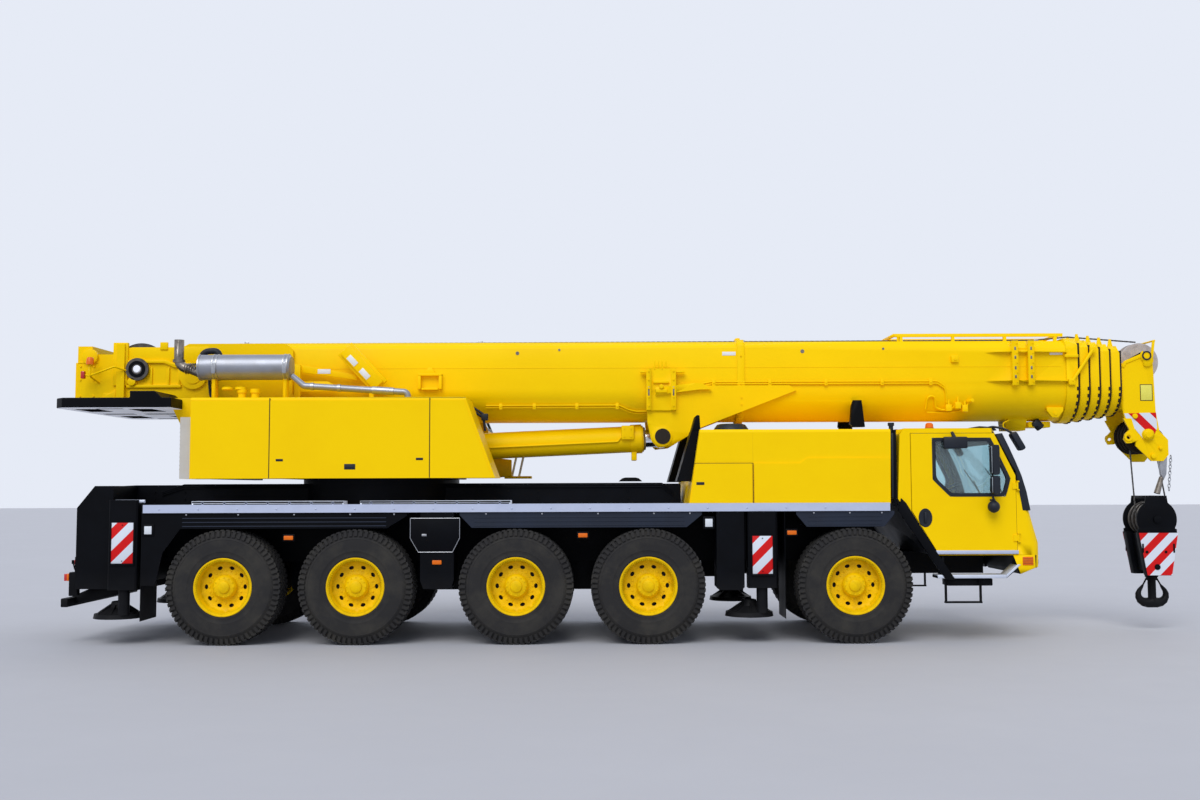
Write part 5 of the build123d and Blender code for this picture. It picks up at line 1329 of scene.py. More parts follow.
    def front(self) -> None:
        """Part the yellow bumper from the black steps and fit lamps, grille and plate."""
        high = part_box("front_bumper")[1]
        copy = SolidCopy(self.nodes["front_bumper"])
        copy.painted(1, lambda at, normal: at.x < 4.84 or at.z < 0.8 or normal.x < -0.2
                     or (abs(at.y) < 1.36 and abs(normal.y) > 0.6))
        self._bowed(copy)
        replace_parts(copy.piece("bumper", self.body, YELLOW, BLACK), "front_bumper")
        tread = Shape()
        tread.box((3.84, -1.379, 0.798), (4.70, -1.13, 0.842), 0.006)
        tread.prism([(4.700, 0.805), (4.700, 0.842), (4.845, 0.972), (4.880, 0.966)],
                    -1.379, -1.13, bevel=0.003)
        tread.mirrored().piece("step_treads", self.body, LADDER)
        box = Shape().box((3.98, -1.30, 0.70), (4.55, -1.05, 0.79), 0.012)
        box.mirrored().piece("step_boxes", self.body, BLACK)
        lens, rims, amber, grille = Shape(), Shape(), Shape(), Shape()
        for y in (-1.13, -0.93):
            lens.rod((high.x - 0.03, y, 1.0), (high.x + 0.006, y, 1.0), 0.075, 0.070, sides=28)
            rims.turned([(0.078, -0.03), (0.078, 0.010), (0.090, 0.006), (0.094, -0.03)],
                        (high.x, y, 1.0), Axis.X, steps=28, closed=True)
        amber.box((4.905, -1.384, 0.957), (5.040, -1.355, 1.064), 0.012)
        for z in (0.985, 1.012, 1.038):
            rims.box((4.912, -1.3855, z - 0.003), (5.030, -1.37, z + 0.003), 0.001)
        for number in range(6):
            z = 1.20 + 0.062 * number
            x = 5.152 - 0.27 * max(0.0, z - 1.23)
            grille.box((x - 0.02, -0.62, z), (x + 0.008, 0.62, z + 0.034), 0.006)
        lens.mirrored().piece("headlamps", self.body, WHITE_LENS)
        rims.mirrored().piece("headlamp_rims", self.body, PLASTIC)
        amber.mirrored().piece("corner_lamps", self.body, AMBER)
        grille.piece("front_grille", self.body, PLASTIC)
        plate = Shape().box((high.x - 0.002, 0.30, 0.945), (high.x + 0.008, 0.82, 1.055), 0.004)
        plate.piece("number_plate", self.body, WHITE_FOIL)

    def lower_side(self) -> None:
        """Run the black slanted strip and the gap strip behind the cab."""
        strip = Shape()
        strip.prism([(3.36, 1.64), (3.40, 1.80), (3.46, 1.74), (3.90, 1.02), (4.06, 0.78),
                     (3.94, 0.78), (3.86, 0.90)], -1.392, -1.345, bevel=0.004)
        strip.prism([(3.315, 1.70), (3.345, 1.70), (3.355, 2.66), (3.325, 2.66)],
                    -1.378, -1.32, bevel=0.003)
        strip.mirrored().piece("cab_rear_strip", self.body, BLACK)

    def build(self) -> None:
        """Dress and fit out the driver's cab."""
        self.shell()
        self.doors()
        self.windows()
        self.roof()
        self.front()
        self.lower_side()


# ------------------------------------------------------------------------- superstructure
@dataclass
class Superstructure:
    """Slewing platform with its hood, exhaust, ballast, winch and operator's cab."""

    nodes: dict[str, bpy.types.Object]
    body: str = "superstructure"
    ring_z: float = 2.125                            # the slewing ring is black below this
    cooler_x: float = -5.532                         # the cooler's frame is behind this
    elbow_x: float = -5.575                          # the exhaust's elbow is behind this
    leg_z: float = 3.34                              # the silencer's legs are below this
    legs: tuple[float, float] = (-5.34, -4.43)       # middles of the two legs
    winch_x: float = -6.528
    winch_z: float = 3.535
    drum_half: float = 0.36                          # half the drum's width between its flanges
    rope_pitch: float = 0.0232                       # from one turn of the rope to the next
    silencer_y: float = -0.95
    silencer_z: float = 3.515
    feed: tuple[float, float] = (-4.204, -2.860)     # both ends of the silencer's feed pipe
    feed_drop: float = 0.085                         # how far it falls between them
    tail_y: float = -0.492                           # outside of the tail's right-hand plate

    def dress_solids(self) -> None:
        """Paint the solids that stay as they are."""
        dress(self.nodes, CASTING, "superstructure_engine")
        dress(self.nodes, SHEAVE, "winch_drum")
        dress(self.nodes, YELLOW, "luff_barrel")
        dress(self.nodes, CHROME, "luff_rod")
        copy = SolidCopy(self.nodes["turntable"]).rounded(0.006)
        copy.painted(1, lambda at, normal: at.z < self.ring_z)
        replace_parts(copy.piece("platform", self.body, YELLOW, BLACK), "turntable")

    def hood(self) -> None:
        """Round the hood, tell its grey cooler from the yellow doors, fit handles and vent."""
        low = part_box("superstructure_hood")[0]
        copy = SolidCopy(self.nodes["superstructure_hood"]).rounded(0.010)
        copy.painted(1, lambda at, normal: at.x < self.cooler_x)
        copy.moved(lambda at: (at.x, at.y, at.z - 0.052) if at.z < low.z + 0.02 else None)
        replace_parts(copy.piece("hood_doors", self.body, YELLOW, COOLER), "superstructure_hood")
        # Thin dark inlays down the door seams: painted shade in the gaps.
        gaps = Shape()
        for x in (-4.531, -2.514):
            gaps.box((x - 0.005, low.y - 0.0006, low.z - 0.046), (x + 0.005, low.y + 0.006, 3.083),
                     0.0)
        gaps.piece("hood_door_gaps", self.body, SOOT_AND_SHADE)
        pulls, caps = Shape(), Shape()
        for x, z, long, tall in ((-4.40, 2.30, 0.09, 0.030), (-2.64, 2.31, 0.09, 0.030),
                                 (-3.515, 2.215, 0.14, 0.070)):
            pulls.box((x - long / 2, low.y + 0.004, z - tall / 2),
                      (x + long / 2, low.y - 0.003, z + tall / 2), 0.004)
            pulls.box((x - long / 2 + 0.008, low.y, z - tall / 6),
                      (x + long / 2 - 0.008, low.y - 0.007, z + tall / 6), 0.002)
        pulls.piece("hood_handles", self.body, PLASTIC)
        for x in (-5.19, -5.02):
            caps.turned([(0.0, 0.165), (0.05, 0.165), (0.068, 0.155), (0.072, 0.130),
                         (0.066, 0.125)], (x, -0.98, 3.095), Axis.Z, steps=28)
        caps.piece("filler_caps", self.body, YELLOW)
        louvres = Shape()
        for number in range(12):
            z = low.z + 0.06 + 0.052 * number
            louvres.box((-5.700, -1.26, z), (-5.684, -0.62, z + 0.016), 0.003)
        louvres.piece("cooler_louvres", self.body, PLASTIC)

    def exhaust(self) -> None:
        """Band the silencer, stain its elbow and lag the feed pipe."""
        copy = SolidCopy(self.nodes["exhaust"])
        copy.painted(1, lambda at, normal: at.x < self.elbow_x)
        copy.painted(2, lambda at, normal: at.z < self.leg_z
                     and min(abs(at.x - leg) for leg in self.legs) < 0.1)
        copy.moved(lambda at: (at.x, at.y, at.z + 0.06) if at.x < -5.58 and at.z < 3.62 else None)
        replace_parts(copy.piece("silencer", self.body, SILENCER, ELBOW, YELLOW), "exhaust")
        bands = Shape()
        for x in (-5.545, -5.36, -5.31, -4.45, -4.40):
            bands.turned([(0.166, -0.010), (0.172, -0.008), (0.172, 0.008), (0.166, 0.010)],
                         (x, self.silencer_y, self.silencer_z), Axis.X, steps=48, closed=True)
        for x in (-5.335, -4.425):
            bands.rod((x, -1.122, 3.44), (x, -1.122, 3.55), 0.012, sides=6)
            bands.box((x - 0.025, -1.13, 3.42), (x + 0.025, -1.105, 3.57), 0.004)
        rear, front = self.feed
        for x in (-4.10, -3.75, -3.30, -3.27, -3.24, -3.21, -3.18, -3.15, -3.12, -3.09, -3.06):
            z = 3.27 - (x - rear) / (front - rear) * self.feed_drop
            bands.turned([(0.043, -0.022), (0.050, -0.020), (0.050, 0.020), (0.043, 0.022)],
                         (x, self.silencer_y, z), Axis.X, steps=28, closed=True)
        bands.piece("silencer_bands", self.body, ZINC)
        elbow = Shape()
        for number in range(5):
            elbow.turned([(0.062, -0.012), (0.074, 0.0), (0.062, 0.012)],
                         (-5.62 - 0.03 * number, self.silencer_y, 3.50), Axis.X, steps=28)
        elbow.turned([(0.062, -0.02), (0.078, -0.018), (0.078, 0.018), (0.062, 0.02)],
                     (-5.835, self.silencer_y, 3.60), Axis.Z, steps=28, closed=True)
        elbow.piece("exhaust_bellows", self.body, ELBOW)

    def counterweight(self) -> None:
        """Blacken the ballast plate's edge and leave its underside pale and faintly glowing, which
        is painted light, with lifting slots.
        """
        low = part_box("counterweight")[0]
        copy = SolidCopy(self.nodes["counterweight"]).rounded(0.012)
        # The underside's near-white, glowing primer is painted light on a shaded face.
        copy.painted(1, lambda at, normal: normal.z < -0.5 and at.z < low.z + 0.01)
        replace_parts(copy.piece("ballast_plate", self.body, BLACK, PRIMER_PAINTED_GLOW), "counterweight")
        slots = Shape()
        for x, y, long, wide in ((-6.95, 0.0, 0.42, 0.16), (-6.35, 0.0, 0.5, 0.16),
                                 (-6.65, -1.12, 0.34, 0.10), (-6.65, 1.12, 0.34, 0.10)):
            slots.box((x - long / 2, y - wide / 2, low.z - 0.002),
                      (x + long / 2, y + wide / 2, low.z + 0.02), 0.004)
        slots.piece("ballast_slots", self.body, BLACK)

    def winch(self) -> None:
        """Wind the rope on the drum and face the drum's bearing in black and white."""
        turns, radius = Shape(), 0.292
        for number in range(int(2 * self.drum_half / self.rope_pitch)):
            y = -self.drum_half + self.rope_pitch * (number + 0.5)
            turns.turned([(radius, -0.011), (radius + 0.008, -0.0078), (radius + 0.011, 0.0),
                          (radius + 0.008, 0.0078), (radius, 0.011)],
                         (self.winch_x, y, self.winch_z), steps=48)
        turns.piece("rope_on_drum", "winch", WIRE)
        disc, hub = Shape(), Shape()
        for y in (-0.553, 0.553):
            out = math.copysign(1.0, y)
            disc.turned([(0.112, -0.002), (0.112, 0.006), (0.068, 0.006), (0.068, -0.002)],
                        (self.winch_x, y, self.winch_z), steps=40, closed=True)
            hub.turned([(0.0, out * 0.012), (0.040, out * 0.012), (0.048, out * 0.006),
                        (0.052, -out * 0.002)], (self.winch_x, y, self.winch_z), steps=32)
        disc.piece("bearing_ring", "winch", BLACK)
        # The hub's primer glows faintly: painted light.
        hub.piece("bearing_hub", "winch", PRIMER_PAINTED_GLOW)

    def tail(self) -> None:
        """Fit the tail's ribs, beacon, lamp, straps and hose."""
        ribs, y = Shape(), self.tail_y
        ribs.box((-7.34, y - 0.006, 3.62), (-7.06, y + 0.02, 3.64), 0.004)
        ribs.rod((-7.17, y - 0.04, 3.705), (-7.17, y + 0.02, 3.705), 0.105, sides=32, bevel=0.012)
        ribs.prism([(-6.69, 3.64), (-6.69, 3.815), (-6.62, 3.835), (-5.98, 3.835), (-5.60, 3.84),
                    (-5.50, 3.60), (-5.80, 3.64)], y - 0.002, y + 0.04, bevel=0.004)
        ribs.box((-6.86, y - 0.03, 3.32), (-6.665, y + 0.03, 3.895), 0.008)
        ribs.box((-6.24, y - 0.02, 3.80), (-6.14, y + 0.02, 3.90), 0.006)
        ribs.box((-6.99, y - 0.006, 3.14), (-6.83, y + 0.02, 3.22), 0.006)
        ribs.prism([(-5.95, 3.12), (-5.66, 3.12), (-5.66, 2.84), (-5.79, 2.74), (-5.95, 3.05)],
                   -0.92, -0.88, bevel=0.004)
        for x in (-6.35, -6.12, -5.98):
            ribs.box((x - 0.012, y - 0.022, 3.33), (x + 0.012, y + 0.01, 3.56), 0.003)
        ribs.box((-6.68, y - 0.03, 3.29), (-5.95, y + 0.01, 3.33), 0.006)
        ribs.prism([(-6.66, 3.66), (-6.15, 3.66), (-6.02, 3.60), (-5.90, 3.60), (-5.90, 3.56),
                    (-6.04, 3.56), (-6.18, 3.62), (-6.66, 3.62)], y - 0.035, y + 0.01, bevel=0.005)
        ribs.prism([(-7.05, 3.12), (-6.82, 3.12), (-6.82, 3.26)], y - 0.02, y + 0.01, bevel=0.003)
        ribs.rod((-6.60, y - 0.06, 3.37), (-6.60, y + 0.02, 3.37), 0.055, bevel=0.006)
        bolts = Shape().heads(product((-7.30, -7.12, -6.75), (3.18, 3.40, 3.58)),
                              y + 0.004, y - 0.012, 0.013)
        ribs.mirrored().piece("tail_ribs", self.body, YELLOW)
        bolts.mirrored().piece("tail_bolts", self.body, YELLOW)
        arm, beacon, red = Shape(), Shape(), Shape()
        arm.pipe([(-7.05, y, 3.36), (-7.12, y - 0.16, 3.44), (-6.79, y - 0.16, 3.56),
                  (-6.62, y, 3.50)], 0.012)
        arm.rod((-7.11, y - 0.16, 3.44), (-7.11, y - 0.16, 3.59), 0.016)
        arm.pipe([(-7.12, y - 0.16, 3.44), (-7.18, y - 0.165, 3.45)], 0.010)
        beacon.turned([(0.0, 0.10), (0.032, 0.095), (0.046, 0.075), (0.052, 0.0), (0.0, 0.0)],
                      (-7.11, y - 0.16, 3.59), Axis.Z, steps=24)
        beacon.piece("tail_beacon", self.body, AMBER)
        red.box((-7.22, y - 0.20, 3.40), (-7.17, y - 0.13, 3.50), 0.012)
        arm.piece("lamp_arm", self.body, YELLOW)
        red.piece("tail_marker", self.body, RED_LENS)
        hoses = Shape()
        hoses.pipe([(-5.60, -0.80, 3.56), (-5.58, -0.80, 3.74), (-5.36, -0.80, 3.75),
                    (-5.35, -0.80, 3.60)], 0.042, 0.10)
        for shift in (0.0, 0.045):
            hoses.pipe([(-5.56 + shift, -0.60, 3.60), (-5.54 + shift, -0.60, 3.30),
                        (-5.50 + shift, -0.66, 3.14), (-5.30, -0.70, 3.10)], 0.020, 0.08)
            hoses.pipe([(-2.12, -0.50, 3.05 - shift), (-1.92, -0.50, 2.92 - shift),
                        (-1.90, -0.50, 2.70)], 0.017, 0.06)
        hoses.box((-1.95, -0.53, 2.84), (-1.86, -0.46, 2.93), 0.010)
        hoses.piece("uprights_hoses", self.body, PLASTIC)

    def guards(self) -> None:
        """Stand the two tilted guards in front of the boom's foot, with blank plates."""
        guard, plates, arms = Shape(), Shape(), Shape()
        turn = Matrix.Rotation(math.radians(47), 3, "Y")
        guard.box((-3.86, -0.66, 3.41), (-3.16, -0.60, 3.66), 0.014, turn)
        guard.box((-3.84, -0.71, 3.45), (-3.18, -0.655, 3.62), 0.012, turn)
        for shift in (-0.12, 0.12):
            step = turn @ Vector((shift, 0, 0))
            middle = Vector((-3.55, -0.713, 3.535)) + step
            plates.box(middle - Vector((0.075, 0.002, 0.038)),
                       middle + Vector((0.075, 0.002, 0.038)), 0.001, turn)
        arms.prism([(-4.45, 3.60), (-3.60, 3.45), (-3.60, 3.38), (-4.45, 3.50)], -0.56, -0.53,
                   bevel=0.004)
        arms.prism([(-4.40, 3.36), (-3.98, 3.36), (-3.86, 3.30), (-3.40, 3.30), (-3.40, 3.24),
                    (-4.40, 3.22)], -0.60, -0.57, bevel=0.004)
        arms.box((-3.42, -0.64, 3.09), (-3.36, -0.58, 3.34), 0.004)
        arms.box((-4.42, -0.61, 3.09), (-4.34, -0.55, 3.58), 0.004)
        plates.box((-4.12, -0.5645, 3.465), (-3.95, -0.5605, 3.525), 0.001)
        guard.piece("tilted_guard", self.body, YELLOW)
        arms.piece("guard_arms", self.body, YELLOW)
        plates.piece("blank_plates", self.body, WHITE_FOIL)

    def operator_cab(self) -> None:
        """Round the operator's cab, glaze it and fit its rails."""
        copy = SolidCopy(self.nodes["crane_cab"]).rounded(0.008)
        copy.painted(1, lambda at, normal: 0.57 < at.y < 1.32 and 2.16 < at.z < 3.52
                     and -3.39 < at.x < -2.0)
        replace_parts(copy.piece("operator_shell", self.body, YELLOW, PLASTIC), "crane_cab")
        door = SolidCopy(self.nodes["crane_cab_door"]).rounded(0.006)
        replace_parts(door.piece("operator_door", "operator_door", YELLOW), "crane_cab_door")
        glass = Shape()
        glass.prism([(-2.300, 3.500), (-2.294, 3.503), (-1.966, 2.752), (-1.972, 2.750)],
                    0.60, 1.30)
        glass.box((-3.25, 0.536, 2.75), (-2.25, 0.542, 3.42), 0.001)
        glass.piece("operator_glass", self.body, GLASS)
        rails = Shape()
        rails.pipe([(-3.40, 1.42, 2.25), (-3.40, 1.50, 2.25), (-3.40, 1.50, 3.2),
                    (-3.40, 1.40, 3.2)], 0.014)
        rails.piece("operator_rail", self.body, YELLOW)

    def cylinder(self) -> None:
        """Fit the valve block, pipe and wiper ring on the luffing cylinder."""
        start, end = Vector((-4.770, 0, 2.388)), Vector((0.462, 0, 2.621))     # its two pins
        along = (end - start).normalized()
        gland = end - along * 0.244
        block, pipe, wiper = Shape(), Shape(), Shape()
        block.box(gland + Vector((-0.30, -0.235, -0.02)), gland + Vector((-0.13, -0.17, 0.17)),
                  0.010)
        block.box(gland + Vector((-0.16, -0.10, -0.30)), gland + Vector((-0.09, 0.10, -0.18)),
                  0.010)
        for x in (-0.26, -0.17):
            for z in (0.02, 0.13):
                at = gland + Vector((x, -0.235, z))
                block.rod(at, at + Vector((0, -0.014, 0)), 0.012, sides=6)
        pipe.pipe([start + along * 0.5 + Vector((0, -0.19, -0.03)),
                   gland + along * -0.35 + Vector((0, -0.19, -0.03)),
                   gland + along * -0.28 + Vector((0, -0.19, 0.06))], 0.012)
        wiper.rod(gland + along * 0.002, gland + along * 0.03, 0.165, 0.150, sides=40)
        block.piece("cylinder_valve", "luffing_barrel", YELLOW)
        pipe.piece("cylinder_pipe", "luffing_barrel", YELLOW)
        wiper.piece("cylinder_wiper", "luffing_barrel", ZINC)

    def access(self) -> None:
        """Hang the step below the operator's side of the platform."""
        steps, foot = Shape(), Shape()
        for x in (-1.62, -1.52):
            steps.rod((x, 0.62, 2.10), (x + 0.07, 0.62, 2.42), 0.016)
        foot.box((-1.72, 0.52, 2.075), (-1.34, 0.74, 2.110), 0.006)
        foot.prism([(-2.10, 2.40), (-1.62, 2.34), (-1.62, 2.11), (-1.80, 2.09), (-2.10, 2.20)],
                   0.50, 0.60, bevel=0.006)
        steps.piece("step_stiles", self.body, LADDER)
        foot.piece("step_plate", self.body, RIM_YELLOW)

    def build(self) -> None:
        """Dress and fit out the superstructure."""
        self.dress_solids()
        self.hood()
        self.exhaust()
        self.counterweight()
        self.winch()
        self.tail()
        self.guards()
        self.operator_cab()
        self.cylinder()
        self.access()


# ------------------------------------------------------------------------- boom
@dataclass
class Boom:
    """Telescopic boom with its pipe runs, brackets, rope and collars."""

    nodes: dict[str, bpy.types.Object]
    body: str = "boom"
    half: float = 0.430
    arc_z: float = 3.260
    top: float = 3.900
    pipe_r: float = 0.0095
    collars: int = 5
    groove: float = 0.040         # open gap in front of each collar
    step: float = 0.024           # each section is smaller all round by this
    clip: float = 0.022           # the pipes run this far off the skin
    eye: tuple[float, float] = (0.462, 2.621)      # the luffing cylinder's pin
    keepers: int = 13             # on each side of a collar
    keeper_deg: float = 12.5      # from one keeper to the next

    def _skin(self, z: float) -> float:
        """Distance of the boom's skin from the middle plane at one height."""
        drop = self.arc_z - z
        return self.half if drop <= 0 else math.sqrt(max(0.0, self.half ** 2 - drop ** 2))

    def dress_solids(self) -> None:
        """Paint tube, sections, head and sheaves."""
        tube = SolidCopy(self.nodes["boom_base"])
        tube.painted(1, lambda at, normal: 2.93 < at.x < 3.18 and at.z < 3.10
                     and abs(at.y) > 0.355 and not (abs(at.y) < 0.43 and at.z > 3.0))
        tube.moved(self._grooved("boom_base"))
        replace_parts(tube.piece("boom_tube", self.body, YELLOW, BLACK), "boom_base")
        bracket = SolidCopy(self.nodes["luffing_bracket"])
        x, z = self.eye
        bracket.painted(1, lambda at, normal: abs(at.y) > 0.492
                        and math.hypot(at.x - self.eye[0], at.z - self.eye[1]) < 0.08)
        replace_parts(bracket.piece("cylinder_bracket", self.body, YELLOW, SOOT_AND_SHADE), "luffing_bracket")
        washer = Shape().turned([(0.066, 0.0), (0.066, 0.012), (0.098, 0.012), (0.104, 0.0)],
                                (x, -0.501, z), steps=40, closed=True)
        washer.mirrored().piece("pin_washers", self.body, SOOT_AND_SHADE)
        for number in range(1, 6):
            node = f"boom_section_{number}"
            section = SolidCopy(self.nodes[node])
            section.moved(self._grooved(node) if number < 5 else self._narrow_head)
            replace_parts(section.piece(f"section_{number}_tube", f"section_{number}", YELLOW), node)
        low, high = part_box("top_sheaves")
        x, z = (low.x + high.x) / 2, (low.z + high.z) / 2
        sheaves = SolidCopy(self.nodes["top_sheaves"])
        sheaves.moved(lambda at: (x + (at.x - x) * 0.9, at.y, z + (at.z - z) * 0.9))
        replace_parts(sheaves.piece("top_sheave_discs", "head_top_sheaves", NYLON), "top_sheaves")
        dress(self.nodes, SHEAVE, "lower_sheaves")

    def _grooved(self, node: str) -> Callable[[Vector], Point | None]:
        """Rule that draws a collar's front face back to open the gap before the next one."""
        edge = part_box(node)[1].x
        return lambda at: (at.x - self.groove, at.y, at.z) if at.x > edge - 0.0105 else None

    def _narrow_head(self, at: Vector) -> Point | None:
        """Rule that cuts the head's cheeks back below the tube and centres their bosses."""
        if abs(at.y) < 0.25:
            return None
        if math.hypot(at.x - 7.11, at.z - 2.56) < 0.0915:
            return (6.985 + (at.x - 7.11) * 0.86, at.y, 2.629 + (at.z - 2.56) * 0.86)
        if math.hypot(at.x - 6.995, at.z - 3.635) < 0.08:
            return (at.x, at.y, at.z + 0.060)
        if at.x > 6.90 or at.z > 2.86:
            return None
        steps = ((2.275, 0.230), (2.48, 0.105), (2.60, 0.125), (2.70, 0.105), (2.86, 0.010))
        for (low, start), (high, end) in zip(steps, steps[1:]):
            if at.z <= high:
                share = max(0.0, (at.z - low) / (high - low))
                return (at.x + start + (end - start) * share, at.y, at.z)
        return None

    def seams(self) -> None:
        """Run the weld bead along both sides of the tube."""
        low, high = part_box("boom_base")
        bead = Shape().box((low.x + 0.7, -self.half - 0.0035, 3.541),
                           (high.x - 0.25, -self.half + 0.003, 3.548), 0.0015)
        bead.mirrored().piece("boom_weld", self.body, YELLOW)

    def pipes(self) -> None:
        """Clip the lubrication and oil pipes to the right side of the tube."""
        runs = Shape()

        def at(x: float, z: float) -> tuple[float, float, float]:
            """Point on the pipe's route, off the skin by the clip's height."""
            return (x, -self._skin(z) - self.clip, z)

        for shift in (0.0, -0.030):
            runs.pipe([at(-1.90, 3.045 + shift), at(-0.12, 3.045 + shift), at(0.02, 2.985 + shift),
                       at(0.12, 2.965 + shift), at(0.26, 2.965 + shift)], self.pipe_r, 0.05)
            runs.pipe([at(0.62, 2.965 + shift), at(0.74, 2.98 + shift), at(0.88, 3.18 + shift),
                       at(0.96, 3.32 + shift), at(1.12, 3.350 + shift), at(4.14, 3.350 + shift),
                       at(4.24, 3.28 + shift), at(4.275, 3.06 + shift)], self.pipe_r, 0.05)
        runs.piece("boom_pipes", self.body, YELLOW)
        clips = Shape()
        for x, z in ((-1.7, 3.03), (-1.25, 3.03), (-0.68, 3.03), (-0.14, 3.03), (1.15, 3.335),
                     (1.9, 3.335), (2.65, 3.335), (3.4, 3.335), (4.05, 3.335)):
            y = -self._skin(z)
            clips.box((x - 0.022, y + 0.01, z - 0.040), (x + 0.022, y - 0.040, z + 0.040), 0.005)
            clips.rod((x, y - 0.036, z), (x, y - 0.052, z), 0.009, sides=6)
        clips.piece("boom_clips", self.body, YELLOW)
        loops = Shape()
        loops.pipe([at(4.00, 2.98), at(4.01, 3.14), at(4.10, 3.16), at(4.13, 3.00), at(4.22, 2.97),
                    at(4.36, 2.98), at(4.42, 3.08), at(4.50, 3.02)], 0.014, 0.05)
        loops.pipe([at(4.02, 2.94), at(4.30, 2.935), at(4.46, 2.95), at(4.58, 3.06)], 0.012, 0.05)
        for x, z in ((4.30, 3.00), (4.42, 3.03), (4.52, 2.99)):
            y = -self._skin(z)
            loops.box((x - 0.04, y + 0.02, z - 0.05), (x + 0.04, y - 0.07, z + 0.04), 0.010)
            loops.rod((x, y - 0.05, z + 0.03), (x, y - 0.05, z + 0.10), 0.016, sides=12)
        loops.rod((4.56, -self._skin(3.07) + 0.02, 3.07), (4.60, -self._skin(3.07) - 0.09, 3.09),
                  0.026, bevel=0.004)
        loops.piece("boom_valves", self.body, YELLOW)

    def holes(self) -> None:
        """Plug the lifting holes near the top edge and stick on blank plates."""
        plugs, plates, boss = Shape(), Shape(), Shape()
        for x, z, r in ((-1.475, 3.744, 0.024), (-0.914, 3.787, 0.016), (2.345, 3.759, 0.026),
                        (3.43, 3.790, 0.016)):
            plugs.turned([(r, 0.0), (r, -0.004), (r * 0.6, -0.004), (r * 0.5, -0.001),
                          (0.0, -0.001)], (x, -self.half, z), steps=24)
        plugs.piece("boom_plugs", self.body, ELBOW)
        plates.box((1.27, -0.4302, 3.705), (1.45, -0.4335, 3.755), 0.0008)
        plates.box((5.66, -0.4302, 3.700), (5.83, -0.4335, 3.748), 0.0008)
        plates.piece("boom_plates", self.body, WHITE_FOIL)
        boss.box((4.33, -0.470, 3.60), (4.43, -0.425, 3.69), 0.012)
        boss.rod((4.38, -0.465, 3.645), (4.38, -0.482, 3.645), 0.020, sides=6)
        for x in (-2.78, -2.50):
            boss.box((x - 0.02, -0.50, 3.26), (x + 0.02, -0.42, 3.46), 0.005)
        boss.box((-2.80, -0.505, 3.44), (-2.48, -0.42, 3.47), 0.005)
        boss.box((-2.75, -0.50, 3.25), (-2.53, -0.42, 3.28), 0.005)
        boss.prism([(-2.72, 3.47), (-2.56, 3.47), (-2.62, 3.55), (-2.66, 3.55)], -0.49, -0.44,
                   bevel=0.004)
        boss.piece("boom_bosses", self.body, YELLOW)

    def holder(self) -> None:
        """Bolt up the jib holder's channels and hang its pins."""
        face, channels = -(self.half + 0.120), (0.279, 0.608)
        pins, ears = Shape(), Shape()
        bolts = Shape().heads(product(channels, [3.03 + 0.115 * number for number in range(5)]),
                              face + 0.004, face - 0.014, 0.013)
        for x in channels:
            pins.box((x - 0.010, face - 0.002, 3.16), (x + 0.010, face + 0.001, 3.28), 0.0005)
        ears.box((0.17, -0.53, 3.470), (0.25, -0.46, 3.492), 0.004)
        ears.box((0.64, -0.53, 3.470), (0.76, -0.46, 3.492), 0.004)
        for number in range(4):
            ears.rod((0.36 + 0.05 * number, -0.50, 3.52 + 0.02 * (number % 2)),
                     (0.36 + 0.05 * number, -0.50, 3.62), 0.008)
        ears.box((0.34, -0.53, 3.33), (0.55, -0.48, 3.36), 0.005)
        ears.rod((0.445, -0.53, 3.28), (0.445, -0.58, 3.28), 0.030, bevel=0.005)
        ears.box((0.37, -0.56, 3.20), (0.52, -0.49, 3.25), 0.006)
        bolts.piece("holder_bolts", self.body, YELLOW)
        pins.piece("holder_slots", self.body, ELBOW)
        ears.piece("holder_ears", self.body, YELLOW)

    def band(self) -> None:
        """Bolt the band round the tube and cap its top."""
        bolts = Shape()
        for z in (3.05, 3.14, 3.32, 3.70):
            y = -self._skin(z) - 0.026 if z > self.arc_z else -self.half - 0.044
            bolts.rod((1.516, y + 0.01, z), (1.516, y - 0.016, z), 0.012, sides=6)
        cap = Shape().box((1.485, -0.11, 3.93), (1.545, 0.11, 3.978), 0.006)
        cap.rod((1.515, -0.08, 3.97), (1.515, 0.08, 3.97), 0.012)
        cap.piece("band_cap", self.body, YELLOW)
        bolts.mirrored().piece("band_bolts", self.body, YELLOW)

    def front_bracket(self) -> None:
        """Slot and bolt the channels near the mouth and brace the first collar."""
        face = -(self.half + 0.080)
        slots, bolts, brace = Shape(), Shape(), Shape()
        for x in (5.173, 5.386):
            for z in (3.40, 3.52, 3.66, 3.78):
                slots.box((x - 0.012, face - 0.001, z - 0.022),
                          (x + 0.012, face + 0.001, z + 0.022), 0.0005)
            bolts.heads(product((x + 0.022,), (3.33, 3.46, 3.59, 3.72, 3.85)),
                        face + 0.004, face - 0.012, 0.009)
        brace.rod((6.22, -0.475, 3.76), (5.93, -0.490, 3.34), 0.022)
        brace.box((5.88, -0.505, 3.29), (5.97, -0.455, 3.37), 0.008)
        brace.box((6.18, -0.49, 3.72), (6.26, -0.455, 3.80), 0.008)
        brace.box((5.84, -0.50, 3.66), (6.02, -0.455, 3.70), 0.006)
        slots.piece("bracket_slots", self.body, ELBOW)
        bolts.piece("bracket_bolts", self.body, YELLOW)
        brace.piece("collar_brace", self.body, YELLOW)

